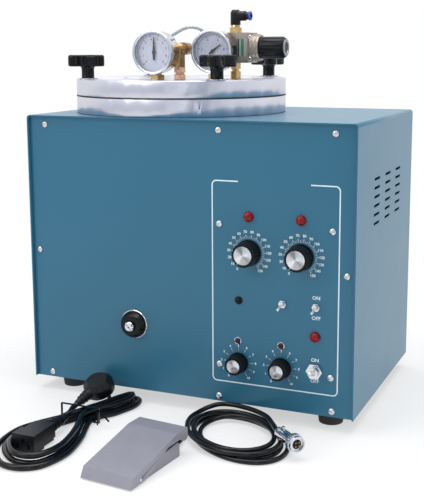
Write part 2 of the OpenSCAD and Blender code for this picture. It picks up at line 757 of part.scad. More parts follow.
module elbow_nut() {
    color([0.8, 0.62, 0.52]) translate([elbow_x, cab_y + elbow_y, lid_top]) difference() {
        union() {
            hexagon(nut_w, nut_h * 0.42);
            cylinder(d = nut_w - 2.5, h = nut_h);
            translate([0, 0, nut_h * 0.55]) hexagon(nut_w, nut_h * 0.45);
        }
        translate([0, 0, -1]) cylinder(d = 6, h = nut_h + 2);
    }
}

// The clear tube's points from its fitting on the lid to the regulator, chosen by hand
tube_marks = [[tube_x, tube_y, lid_top + 6], [tube_x, tube_y, lid_top + 14], [-82.5, -20, lid_top + 28],
    [-75, -20, lid_top + 42], [-60, -20.5, lid_top + 52], [-40, -20.5, lid_top + 60],
    [-25, -18, lid_top + 57], [-18.5, -12.5, reg_z + 8], [-14, reg_y, reg_z + 0.6],
    [-8, reg_y, reg_z], [reg_left - reg_cap_l, reg_y, reg_z]];
tube_path = concat([tube_marks[0]], [for (i = [1:len(tube_marks) - 3], u = [0:0.25:0.99])
    bend(tube_marks[i - 1], tube_marks[i], tube_marks[i + 1], tube_marks[i + 2], u)],
    [tube_marks[len(tube_marks) - 2], tube_marks[len(tube_marks) - 1]]);

module air_tube() {
    color([0.9, 0.93, 0.95, 0.5]) at_cabinet()
        hollow_sweep(tube_path, tube_d, tube_bore, 10);
}

// ---- Sweeps ----

function unit(v) = v / norm(v);
function along(p, i) = unit(p[min(i + 1, len(p) - 1)] - p[max(i - 1, 0)]);
function carried(u, t) = unit(u - (u * t) * t);
function frames(p, i, u) =
    i >= len(p) ? [] : let (v = carried(u, along(p, i))) concat([v], frames(p, i + 1, v));
function side_of(t) = abs(t[2]) > 0.9 ? [1, 0, 0] : [0, 0, 1];
function rings(p, d, n) =
    let (f = frames(p, 0, side_of(along(p, 0))))
    [for (i = [0:len(p) - 1]) let (u = f[i], w = cross(along(p, i), u))
        for (k = [0:n - 1]) p[i] + d / 2 * (cos(360 * k / n) * u + sin(360 * k / n) * w)];
function wall_faces(m, n, at, flip) =
    [for (i = [0:m - 2], k = [0:n - 1], h = [0, 1])
        let (a = at + i * n + k, b = at + i * n + (k + 1) % n)
        let (tri = h == 0 ? [a, b, b + n] : [a, b + n, a + n]) flip ? [tri[2], tri[1], tri[0]] : tri];
function fan(at, n, flip) =
    [for (k = [1:n - 2]) flip ? [at, at + k + 1, at + k] : [at, at + k, at + k + 1]];

module sweep(p, d, n) {
    m = len(p);
    polyhedron(rings(p, d, n), concat(wall_faces(m, n, 0, true), fan(0, n, false),
        fan((m - 1) * n, n, true)));
}

module hollow_sweep(p, d, bore, n) {
    m = len(p);
    last = (m - 1) * n;
    inner = m * n;
    ends = [for (k = [0:n - 1], h = [0, 1]) let (j = (k + 1) % n)
        each [h == 0 ? [k, j, inner + j] : [k, inner + j, inner + k],
            h == 0 ? [last + j, last + k, inner + last + j]
                   : [last + k, inner + last + k, inner + last + j]]];
    polyhedron(concat(rings(p, d, n), rings(p, bore, n)),
        concat(wall_faces(m, n, 0, true), wall_faces(m, n, inner, false), ends));
}

// ---- Regulator ----

module regulator_body() {
    half = reg_h / 2;
    color([0.66, 0.6, 0.53]) translate([reg_x, cab_y + reg_y, reg_z]) difference() {
        union() {
            translate([reg_left - reg_x, -half, -half + 3]) cube([reg_l, reg_h, reg_h - 6]);
            translate([reg_left - reg_x, -half + 3, -half]) cube([reg_l, reg_h - 6, reg_h]);
            translate([reg_right - reg_x, 0, 0]) rotate([0, 90, 0]) cylinder(d = reg_neck_d, h = reg_neck_l);
            translate([reg_left - reg_x - reg_cap_l, 0, 0]) rotate([0, 90, 0])
                cylinder(d = 12, h = reg_cap_l);
        }
        translate([reg_right - reg_x + reg_neck_l - 9, 0, 0]) rotate([0, 90, 0])
            cylinder(d = reg_bore_d + 2 * run_gap, h = 12);
        translate([0, 0, half - 6]) cylinder(d = 6, h = 8);
    }
}

module regulator_knob() {
    color([0.07, 0.07, 0.08])
        translate([reg_right + reg_neck_l + fit, cab_y + reg_y, reg_z]) rotate([0, 90, 0]) {
            difference() {
                union() {
                    cylinder(d = reg_knob_d, h = reg_knob_l - 3);
                    translate([0, 0, reg_knob_l - 3])
                        cylinder(d1 = reg_knob_d, d2 = reg_knob_d - 4, h = 3);
                }
                for (a = [0:24:359]) rotate(a) translate([reg_knob_d / 2 + 0.5, 0, 3])
                    cylinder(d = 2.6, h = reg_knob_l, $fn = 16);
            }
            translate([0, 0, -8]) cylinder(d = reg_bore_d, h = 8.5);
        }
}

module push_in_elbow() {
    color([0.08, 0.09, 0.11]) translate([reg_x, cab_y + reg_y, push_z + fit]) difference() {
        union() {
            cylinder(d = push_d, h = push_h - 3);
            translate([0, 0, push_h - 3]) cylinder(d1 = push_d, d2 = push_d - 4, h = 3);
            translate([0, 0, push_arm_z - push_z]) rotate([0, 90, 0])
                cylinder(d = push_d - 0.6, h = push_arm_l - 4);
            translate([0, 0, push_arm_z - push_z]) rotate([0, 90, 0])
                cylinder(d = push_d - 3, h = push_arm_l);
        }
        translate([3, 0, push_arm_z - push_z]) rotate([0, 90, 0]) cylinder(d = 6, h = push_arm_l);
        translate([0, 0, -1]) cylinder(d = spigot_d + 2 * run_gap, h = spigot_l + 1);
    }
}

// ---- Nozzle and valve ----

collar_d = tip_d + 2.5;
nozzle_hole_d = collar_d + 2.5;
stem_d = tip_d - 3;
collar_t = 1.5;
collar_y = front_face + fit + collar_t;
well_y = collar_y + tip_travel + 2.8;
tip_back = well_y + tip_travel + 3.5;
tip_front = front_face - cap_l - tip_out;

module at_nozzle(y) { translate([nozzle_x, cab_y + y, nozzle_level]) rotate([90, 0, 0]) children(); }

module nozzle_cap() {
    color([0.07, 0.07, 0.08]) at_nozzle(front_face) difference() {
        union() {
            cylinder(d = cap_d, h = cap_l * 0.3);
            translate([0, 0, cap_l * 0.3]) cylinder(d1 = cap_d, d2 = cap_d * 0.75, h = cap_l * 0.7);
        }
        translate([0, 0, -1]) cylinder(d = tip_d + 1, h = cap_l + 2);
    }
}

module nozzle_tip() {
    slot_w = 2;
    color([0.85, 0.86, 0.87]) difference() {
        union() {
            at_nozzle(tip_back - tip_travel - 1) cylinder(d = stem_d, h = tip_back - collar_y - tip_travel);
            at_nozzle(collar_y) cylinder(d = collar_d, h = collar_t);
            at_nozzle(front_face) cylinder(d = tip_d, h = cap_l + tip_out - 1.5);
            at_nozzle(front_face + fit + 0.5) cylinder(d = tip_d, h = 1);
            at_nozzle(tip_front + 1.5) cylinder(d1 = tip_d, d2 = tip_d - 3, h = 1.5);
        }
        at_nozzle(tip_back) cylinder(d = tip_bore, h = 60, $fn = 24);
        at_nozzle(tip_front + 2) rotate(-45) translate([-tip_d, -slot_w / 2, 0])
            cube([2 * tip_d, slot_w, 3]);
    }
}

module nozzle_spring() {
    color([0.7, 0.7, 0.72]) at_nozzle(well_y - 0.1) difference() {
        cylinder(d = collar_d - 0.4, h = well_y - collar_y - 0.2);
        translate([0, 0, -1]) cylinder(d = stem_d + 1.6, h = 20);
    }
}

module valve_block() {
    color([0.75, 0.6, 0.32]) difference() {
        translate([nozzle_x - 20, cab_y + block_front, nozzle_level - 18])
            cube([40, block_back - block_front, 36]);
        at_nozzle(block_back + 1) cylinder(d = feed_bore, h = block_back - tip_back - 3);
        at_nozzle(block_back + 1) cylinder(d = tip_bore + 1, h = 60);
        at_nozzle(tip_back + 0.5) cylinder(d = stem_d + 2 * run_gap, h = 60);
        at_nozzle(well_y) cylinder(d = collar_d + 1, h = 60);
    }
}

// ---- Controls ----

module control_knob(p, d, h) {
    color([0.06, 0.06, 0.07]) at_cabinet() on_panel(p) forward() translate([0, 0, 0.4]) difference() {
        union() {
            cylinder(d = d, h = 2.4);
            cylinder(d = d - 2.4, h = h - 1.6);
            translate([0, 0, h - 1.6]) cylinder(d = d - 7.5, h = 1.6);
        }
        for (a = [0:18:359]) rotate(a) translate([d / 2 - 0.7, 0, 2.4]) cylinder(d = 1.8, h = h, $fn = 16);
        translate([0, 0, -1]) cylinder(d = shaft_d + 2 * run_gap, h = h - 3);
        translate([0, 0, -1]) cylinder(d = shaft_d + 8, h = 3);
    }
}

module wax_temp_knob() { control_knob(big_knobs[0], big_knob_d, big_knob_h); }
module valve_temp_knob() { control_knob(big_knobs[1], big_knob_d, big_knob_h); }
module vacuum_time_knob() { control_knob(small_knobs[0], small_knob_d, small_knob_h); }
module injection_time_knob() { control_knob(small_knobs[1], small_knob_d, small_knob_h); }

ball_mini = 3.6;
ball_power = 6.4;
lever_mini = 17.5;
lever_power = 21;
lever_tilt = 12.5;

module toggle_lever(p, ball, reach, tip, tilt) {
    color([0.85, 0.86, 0.88]) at_cabinet() on_panel(p) translate([0, -ball, 0]) rotate([tilt, 0, 0])
        forward() {
            sphere(d = ball, $fn = 32);
            cylinder(d1 = ball * 0.5, d2 = tip, h = reach - ball - tip / 2);
            translate([0, 0, reach - ball - tip / 2]) sphere(d = tip, $fn = 32);
        }
}

module auto_manual_lever() { toggle_lever(mini_toggles[0], ball_mini, lever_mini, 2.9, lever_tilt); }
module vacuum_lever() { toggle_lever(mini_toggles[1], ball_mini, lever_mini, 2.9, lever_tilt); }
module power_lever() { toggle_lever(power_toggle, ball_power, lever_power, 5, -lever_tilt); }

module toggle_body(p, bush, ball, nut, deep) {
    on_panel(p) forward() difference() {
        union() {
            translate([0, 0, -panel_t]) cylinder(d = bush, h = panel_t + ball * 1.35);
            translate([0, 0, 0.05]) hexagon(nut, ball * 0.6);
            translate([-nut * 0.62, -nut * 0.8, -panel_t - deep]) cube([nut * 1.24, nut * 1.6, deep]);
        }
        translate([0, 0, ball]) sphere(d = ball + 2 * run_gap, $fn = 32);
        translate([0, 0, ball]) cylinder(d1 = ball * 0.6, d2 = bush - 1, h = ball);
    }
}

module shaft_pot(p, h) {
    on_panel(p) forward() {
        translate([0, 0, -panel_t - 9]) cylinder(d = 17, h = 9);
        translate([0, 0, -panel_t]) cylinder(d = shaft_d + 4, h = panel_t + 1.2);
        translate([0, 0, 1]) cylinder(d = shaft_d, h = h - 5);
    }
}

module panel_controls() {
    color([0.7, 0.71, 0.73]) at_cabinet() {
        for (p = mini_toggles) toggle_body(p, mini_bush_d, ball_mini, 8, 9);
        toggle_body(power_toggle, power_bush_d, ball_power, 16, 18);
        for (p = big_knobs) shaft_pot(p, big_knob_h);
        for (p = small_knobs) shaft_pot(p, small_knob_h);
    }
}

module lamp(p, d, dome) {
    on_panel(p) forward() {
        cylinder(d = d, h = dome * 0.4);
        intersection() {
            cylinder(d = d, h = dome);
            translate([0, 0, dome * 0.4]) scale([1, 1, 1]) sphere(d = d * 0.94);
        }
        translate([0, 0, -panel_t - 8]) cylinder(d = d - 3, h = panel_t + 8);
    }
}

module indicator_lamps() {
    color([0.75, 0.05, 0.08]) at_cabinet() {
        for (p = red_lamps) lamp(p, lamp_d, 6);
        for (p = led_marks) lamp(p, led_d, 3.4);
    }
}

board_front = front_back + board_gap;

module control_board() {
    color([0.1, 0.4, 0.2]) at_cabinet() difference() {
        translate([unit_x - 72.6, board_front, cab_bottom + 36]) cube([146, board_t, 180]);
        panel_holes(board_marks, screw_d + hole_gap);
    }
}

module solenoid_valve() {
    deep = block_back - block_front - 10.1;
    color([0.3, 0.32, 0.35]) translate([nozzle_x - 20, cab_y + block_front + 4, nozzle_level + 18.2]) {
        cube([40, deep, 14]);
        translate([8, 0, 14]) cube([24, deep, 30]);
        translate([20, deep / 2, 44]) cylinder(d = 10, h = 6);
    }
}

pump_x = cab_w / 2 - 90;
pump_y = 30;

module vacuum_pump() {
    color([0.35, 0.36, 0.38]) translate([pump_x, cab_y + pump_y, cab_bottom + sheet_t]) {
        translate([-40, -30, 0]) cube([80, 60, 4]);
        translate([-34, 0, 32]) rotate([0, 90, 0]) cylinder(d = 52, h = 68);
        translate([-25, -16, 3]) cube([50, 32, 14]);
        translate([0, 0, 50]) cylinder(d = 34, h = 30);
        translate([-28, -5, 74]) cube([56, 10, 10]);
    }
}

module mains_inlet() {
    color([0.08, 0.08, 0.08]) translate([inlet_place[0], cab_y + rear_face, cab_bottom + inlet_place[1]])
        difference() {
            union() {
                translate([-18, 0, -30]) cube([36, 3, 60]);
                translate([-13.8, -24, -23.8]) cube([27.6, 24, 47.6]);
            }
            translate([-12.5, -14, -21]) cube([25, 20, 18]);
            translate([-10, 2.2, 4]) cube([20, 2, 14]);
        }
}

port_l = 24;

module at_rear(place) {
    translate([place[0], rear_face, cab_bottom + place[1]]) rotate([-90, 0, 0]) children();
}

module rear_ports() {
    color([0.75, 0.75, 0.72]) at_cabinet() {
        at_rear(socket_place) difference() {
            union() {
                translate([0, 0, -12]) cylinder(d = socket_d, h = 20);
                cylinder(d = socket_d + 5, h = 2.5);
            }
            translate([0, 0, -2]) cylinder(d = socket_d - 4, h = 12);
        }
        at_rear(port_place) difference() {
            union() {
                translate([0, 0, -14]) cylinder(d = port_d, h = 14);
                hexagon(14, 6);
                cylinder(d = 6, h = port_l);
                for (i = [0:3]) translate([0, 0, 9 + 4 * i]) cylinder(d1 = 7.6, d2 = 6, h = 3);
            }
            translate([0, 0, -15]) cylinder(d = 4, h = port_l + 16);
        }
    }
}

// ---- Pedal ----

module at_pedal() { translate([pedal_x, pedal_y, 0]) rotate(-pedal_turn) children(); }
module across(w) { translate([-w / 2, 0, 0]) rotate([90, 0, 90]) linear_extrude(w) children(); }
module slope_line(drop) {
    polygon([[-pedal_toe - 1, -2], [-pedal_toe + drop, 1.5], [drop * 0.6, toe_h - drop],
        [slope_l, heel_h - drop],
        [pedal_top_l - drop, heel_h - drop], [pedal_top_l - drop, -2]]);
}

module pedal_tread() {
    color([0.6, 0.6, 0.65]) at_pedal() difference() {
        across(pedal_w) polygon([[-pedal_toe, 1.5], [0, toe_h], [slope_l, heel_h], [pedal_top_l, heel_h],
            [pedal_top_l, 17.5], [pedal_top_l - 3, 15.5], [pedal_top_l - 7, 15.5], [slope_l + 5, 19.5],
            [slope_l * 0.78, 19.5], [25, 3.2], [14, 1.5]]);
        across(pedal_w - 2 * pedal_wall) slope_line(pedal_wall);
        translate([0, pedal_hinge_v, pedal_hinge_z]) rotate([0, 90, 0])
            cylinder(d = pin_d + 0.1, h = 2 * pedal_w, center = true);
    }
}

module pedal_base() {
    inner = pedal_base_w - 2 * pedal_wall;
    color([0.5, 0.52, 0.56]) at_pedal() difference() {
        across(pedal_base_w) polygon([[5, 0], [pedal_base_back, 0], [pedal_base_back, 14],
            [pedal_base_back - 3, 15.5], [slope_l * 0.7, 13.5], [17, 6.6], [pedal_hinge_v, 8.2],
            [7, 6.5]]);
        across(inner) polygon([[3, pedal_wall], [pedal_base_back - pedal_wall, pedal_wall],
            [pedal_base_back - pedal_wall, 40], [3, 40]]);
        translate([0, pedal_hinge_v, pedal_hinge_z]) rotate([0, 90, 0])
            cylinder(d = pin_d + 0.1, h = 2 * pedal_w, center = true);
        translate([pedal_exit_u, pedal_base_back + 1, pedal_exit_z]) rotate([90, 0, 0])
            cylinder(d = cable_d + 1.6 + 2 * fit, h = 6);
    }
}

module pedal_pin() {
    color([0.75, 0.75, 0.78]) at_pedal() translate([0, pedal_hinge_v, pedal_hinge_z]) rotate([0, 90, 0])
        cylinder(d = pin_d, h = pedal_w - 0.4, center = true);
}

spring_v = 62;

module pedal_spring() {
    top = toe_h + (heel_h - toe_h) * (spring_v - 5.5) / slope_l - pedal_wall - 0.9;
    color([0.7, 0.7, 0.72]) at_pedal() translate([0, spring_v, pedal_wall]) difference() {
        cylinder(d = 11, h = top - pedal_wall);
        translate([0, 0, -1]) cylinder(d = 8.6, h = 60);
    }
}

module pedal_switch() {
    color([0.15, 0.15, 0.16]) at_pedal() {
        translate([-22, 36, pedal_wall]) cube([8, 22, 9]);
        translate([-19.5, 50, pedal_wall + 9]) cube([3, 3, 1.5]);
    }
}

module pedal_gland() {
    color([0.06, 0.06, 0.06]) at_pedal() translate([pedal_exit_u, pedal_base_back, pedal_exit_z])
        rotate([-90, 0, 0]) {
            translate([0, 0, -pedal_wall]) cylinder(d = cable_d + 1.6, h = pedal_wall);
            cylinder(d1 = cable_d + 3.4, d2 = cable_d + 1, h = gland_l);
        }
}

// ---- Cables ----

// The least gap between two stretches of a wound tube
function least_gap(p, d, skip) =
    min([for (i = [0:len(p) - 1 - skip], j = [i + skip:len(p) - 1]) norm(p[i] - p[j])]) - d;

module pedal_cable() {
    color([0.05, 0.05, 0.06]) at_cabinet() sweep(cable_path, cable_d, 8);
}

module pedal_coil() {
    echo(coil_gap = least_gap(coil_path, cable_d, 5));
    color([0.05, 0.05, 0.06]) at_cabinet() sweep(coil_path, cable_d, 6);
}

module at_plug() {
    translate([plug_start[0], cab_y + plug_start[1], plug_start[2]]) rotate([0, 90, plug_turn]) children();
}

plug_l = 38;
plug_d = 12.6;
nut_d = 19;
nut_l = 9;

module cable_connector() {
    color([0.8, 0.8, 0.82]) at_plug() difference() {
        union() {
            cylinder(d = plug_d - 1.6, h = 9);
            for (s = [-1, 1]) translate([-plug_d / 2 - 0.8, s * 2.6, 4.5]) rotate([0, 90, 0])
                cylinder(d = 3, h = plug_d / 2);
            translate([0, 0, 8]) cylinder(d = plug_d, h = plug_l - nut_l - 8 - 1);
            translate([0, 0, plug_l - nut_l - 2]) cylinder(d = plug_d + 1, h = nut_l);
        }
        translate([0, 0, plug_l - 4]) cylinder(d = plug_d - 2.5, h = 4);
        for (a = [45:90:315]) rotate(a) translate([2.7, 0, plug_l - 8]) cylinder(d = 1.6, h = 6, $fn = 16);
    }
}

module coupling_ring() {
    color([0.82, 0.83, 0.85]) at_plug() translate([0, 0, plug_l - nut_l]) difference() {
        union() {
            cylinder(d = nut_d - 2, h = nut_l);
            cylinder(d = nut_d, h = nut_l * 0.55);
        }
        translate([0, 0, -1]) cylinder(d = plug_d + 1 + 2 * run_gap, h = nut_l + 2);
        for (a = [0:15:359]) rotate(a) translate([nut_d / 2 + 0.3, 0, -1])
            cylinder(d = 1.4, h = nut_l * 0.55 + 0.6, $fn = 16);
    }
}

module mains_hank() {
    echo(hank_gap = least_gap(hank_path, lead_d, 5));
    color([0.05, 0.05, 0.06]) at_cabinet() sweep(hank_path, lead_d, 6);
}

socket_l = norm([lead_start[0] - socket_face[0], lead_start[1] - socket_face[1]]);
socket_body_l = 45;
relief_d = lead_d + 1.4;

module ribbed_relief(d, length) {
    cylinder(d1 = d, d2 = relief_d, h = length);
    for (i = [0:2]) translate([0, 0, length * (0.18 + 0.22 * i)])
        cylinder(d = d - (d - relief_d) * (0.18 + 0.22 * i) + 1.6, h = length * 0.1);
}

module mains_connector() {
    color([0.06, 0.06, 0.07]) translate([socket_face[0], cab_y + socket_face[1], lead_start[2]])
        rotate([-90, 0, atan2(lead_way[1], lead_way[0]) - 90]) {
            difference() {
                union() {
                    translate([-13.5, -10, 0]) cube([27, 20, 18]);
                    translate([-11.5, -9, 17]) cube([23, 18, socket_body_l - 23]);
                    translate([-9.5, -8, socket_body_l - 7]) cube([19, 16, 7]);
                }
                for (p = [[0, -3], [-7, 3], [7, 3]]) translate([p[0] - 1, p[1] - 2.5, -1])
                    cube([2, 5, 14]);
            }
            translate([0, 0, socket_body_l]) ribbed_relief(13, socket_l - socket_body_l);
        }
}

wall_relief_l = 20;
wall_t = 17;
wall_d = 35;

module wall_plug() {
    color([0.06, 0.06, 0.07]) translate([wall_face[0], cab_y + wall_face[1], wall_face[2]])
        rotate([wall_tilt, 0, 0]) {
            cylinder(d = wall_d, h = wall_t - 6);
            translate([0, 0, wall_t - 6]) cylinder(d1 = wall_d, d2 = wall_d - 12, h = 6);
            rotate(-wall_turn) translate([0, -wall_arm + wall_relief_l, wall_mid]) rotate([90, 0, 0])
                ribbed_relief(12.5, wall_relief_l);
            for (s = [-1, 1]) translate([s * 9.5, 0, -17]) cylinder(d = 4.8, h = 18);
        }
}

tie_w = 3;
tie_t = 0.8;
tie_gap = 0.25;

module twist_tie() {
    left = -115 - lead_d / 2;
    right = -74.5 + lead_d / 2;
    low = hank_z + 1.1 - lead_d / 2 - tie_gap;
    high = hank_z + 1.1 + hank_layer + lead_d / 2 + 1.2;
    color([0.1, 0.1, 0.11]) at_cabinet() {
        translate([0, -200 + tie_w / 2, 0]) forward() linear_extrude(tie_w) difference() {
            translate([left - tie_t, low - tie_t])
                square([right - left + 2 * tie_t, high - low + 2 * tie_t]);
            translate([left, low]) square([right - left, high - low]);
        }
        translate([right + tie_t - 1, -201, high - 2]) rotate([0, 18, -28]) cube([22, 1.6, 1.2]);
        translate([right + tie_t - 1, -202, high - 3.4]) rotate([0, 14, -62]) cube([24, 1.6, 1.2]);
    }
}

cabinet_shell();
base_plate();
front_panel();
back_panel();
rubber_feet();
panel_screws();
wax_pot();
pot_flange();
heater_band();
lid_gasket();
lid_plate();
lid_studs();
star_knob_1();
star_knob_2();
star_knob_3();
star_knob_4();
gauge_cases();
gauge_dials();
gauge_windows();
pressure_needle();
regulator_needle();
brass_fittings();
brass_elbow();
elbow_nut();
air_tube();
regulator_body();
regulator_knob();
push_in_elbow();
nozzle_cap();
nozzle_tip();
nozzle_spring();
valve_block();
wax_temp_knob();
valve_temp_knob();
vacuum_time_knob();
injection_time_knob();
auto_manual_lever();
vacuum_lever();
power_lever();
panel_controls();
indicator_lamps();
control_board();
solenoid_valve();
vacuum_pump();
mains_inlet();
rear_ports();
pedal_base();
pedal_tread();
pedal_pin();
pedal_spring();
pedal_switch();
pedal_gland();
pedal_cable();
pedal_coil();
cable_connector();
coupling_ring();
mains_hank();
mains_connector();
wall_plug();
twist_tie();
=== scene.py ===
"""Looks of a benchtop vacuum wax injector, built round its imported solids.

The solids give every size and place. This script dresses them, and adds what a
solid doesn't carry: scales and frame lines printed on the panels, the dials of
the gauges, domed lamps, moulded knobs and smooth cords. Lengths are written in
millimetres of the part's own frame: +Z is up, and the front faces -Y.
"""

from __future__ import annotations

import json
import logging
import math
from dataclasses import dataclass, field
from enum import Enum
from typing import Any, Iterable, Sequence

import bmesh
import bpy
from mathutils import Matrix, Vector

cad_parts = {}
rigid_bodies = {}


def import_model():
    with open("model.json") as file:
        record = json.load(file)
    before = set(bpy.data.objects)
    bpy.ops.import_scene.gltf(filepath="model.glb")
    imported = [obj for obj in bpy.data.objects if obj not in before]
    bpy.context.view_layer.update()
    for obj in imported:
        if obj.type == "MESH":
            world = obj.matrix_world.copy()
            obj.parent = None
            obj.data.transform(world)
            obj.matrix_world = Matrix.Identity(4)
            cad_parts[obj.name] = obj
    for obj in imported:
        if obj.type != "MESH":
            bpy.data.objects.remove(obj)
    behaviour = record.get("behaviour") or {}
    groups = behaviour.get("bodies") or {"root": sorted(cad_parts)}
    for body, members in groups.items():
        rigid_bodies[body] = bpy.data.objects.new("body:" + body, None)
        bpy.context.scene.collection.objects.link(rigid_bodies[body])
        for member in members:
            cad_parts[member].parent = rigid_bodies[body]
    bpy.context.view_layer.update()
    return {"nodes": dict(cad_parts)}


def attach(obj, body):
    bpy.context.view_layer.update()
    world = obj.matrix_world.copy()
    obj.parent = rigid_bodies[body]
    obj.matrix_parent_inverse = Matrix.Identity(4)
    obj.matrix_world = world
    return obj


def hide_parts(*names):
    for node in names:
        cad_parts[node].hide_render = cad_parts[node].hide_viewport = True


LOG = logging.getLogger("wax_injector")
MM = 0.001
PHOTO_W, PHOTO_H = 424, 497

# The cabinet's front and rear faces, and the axis of the pot
FRONT_FACE, REAR_FACE = -33.0, 219.0
POT_AXIS = (-60.6, 94.3)
# How deep printed ink is set into its surface, how far it stands out, and a word's lift
INK_FOOT, INK_TOP, WORD_LIFT = -0.02, 0.05, 0.03
# A font's size for letters of one unit
FONT_SIZE = 1.38
# Steps along a cord, and the sides of its section
CORD_STEP, CORD_SIDES = 4.0, 14
# The circle on which the pins of the pedal's plug and socket stand
PIN_CIRCLE = 2.7

Point = Sequence[float]
Flat = tuple[float, float]
Spot = tuple[float, float, float]
Colour = tuple[float, float, float, float]
Tree = bpy.types.NodeTree
Socket = bpy.types.NodeSocket


def linear(hex_colour: str) -> Colour:
    """Turn an sRGB hex colour into the linear colour that a shader takes.

    Args:
        hex_colour: Six hex digits after a hash.

    Returns:
        Red, green, blue and alpha.
    """
    parts = [int(hex_colour[i : i + 2], 16) / 255 for i in (1, 3, 5)]
    bent = [c / 12.92 if c <= 0.04045 else ((c + 0.055) / 1.055) ** 2.4 for c in parts]
    return (bent[0], bent[1], bent[2], 1.0)


def lighter(hex_colour: str, by: float) -> Colour:
    """A colour that is lighter, or with a negative share darker, than another.

    Args:
        hex_colour: Six hex digits after a hash.
        by: Share of the colour that is added.

    Returns:
        Red, green, blue and alpha, linear.
    """
    base = linear(hex_colour)
    return (*(min(1.0, c * (1 + by)) for c in base[:3]), 1.0)


def add_node(
    tree: Tree, kind: str, links: dict[Any, Any] | None = None, **settings: Any
) -> bpy.types.Node:
    """Add a node with its settings and what its sockets take.

    Args:
        tree: The tree that the node goes into.
        kind: The node's Blender type.
        links: Socket to the socket or the value that it takes.
        **settings: The node's own properties.

    Returns:
        The new node.
    """
    node = tree.nodes.new(kind)
    for key, value in settings.items():
        setattr(node, key, value)
    for key, value in (links or {}).items():
        if isinstance(value, bpy.types.NodeSocket):
            tree.links.new(value, node.inputs[key])
        else:
            node.inputs[key].default_value = value
    return node


def maths(tree: Tree, operation: str, *takes: Any) -> Socket:
    """Work on numbers: the result of an operation on what the sockets take, in order."""
    links = dict(enumerate(takes))
    return add_node(tree, "ShaderNodeMath", links, operation=operation).outputs[0]


def vector_maths(tree: Tree, operation: str, *takes: Any) -> Socket:
    """Work on vectors: the result of an operation on what the sockets take, in order."""
    links = dict(enumerate(takes))
    node = add_node(tree, "ShaderNodeVectorMath", links, operation=operation)
    return node.outputs["Value" if operation == "LENGTH" else "Vector"]


def ranged(
    tree: Tree, value: Socket, low: float, high: float, near: float = 0.0, far: float = 1.0
) -> Socket:
    """A value that runs from near to far, turned into one that runs from low to high."""
    links = {"Value": value, "From Min": near, "From Max": far, "To Min": low, "To Max": high}
    return add_node(tree, "ShaderNodeMapRange", links).outputs["Result"]


def seen_by(tree: Tree, *rays: str) -> Socket:
    """1 for the rays that are named, and 0 for the rest."""
    path = add_node(tree, "ShaderNodeLightPath").outputs
    seen, *others = (path[f"Is {ray} Ray"] for ray in rays)
    for other in others:
        seen = maths(tree, "MAXIMUM", seen, other)
    return seen


def empty_tree(owner: Any) -> Tree:
    """The node tree of a material or a world, emptied."""
    owner.use_nodes = True
    owner.node_tree.nodes.clear()
    return owner.node_tree


def placed(name: str, data: Any) -> bpy.types.Object:
    """A new object of the scene that holds a mesh, a lamp or a lens."""
    made = bpy.data.objects.new(name, data)
    bpy.context.scene.collection.objects.link(made)
    return made


class Slot(Enum):
    """Names of the record's material slots, handed to the scene's own pieces."""

    STEEL = "bare_steel"
    ALUMINIUM = "pot_aluminium"
    CHROME = "chrome"
    DIAL = "dial_white"
    CLEAR = "clear"
    NEEDLE = "needle_black"
    BRASS = "brass"
    CHAMPAGNE = "regulator_champagne"
    KNOB = "knob_black"
    RUBBER = "black_rubber"
    CORD = "cord_black"
    LAMP = "lamp_red"
    PLASTIC = "black_plastic"


# ---- Finishes ----


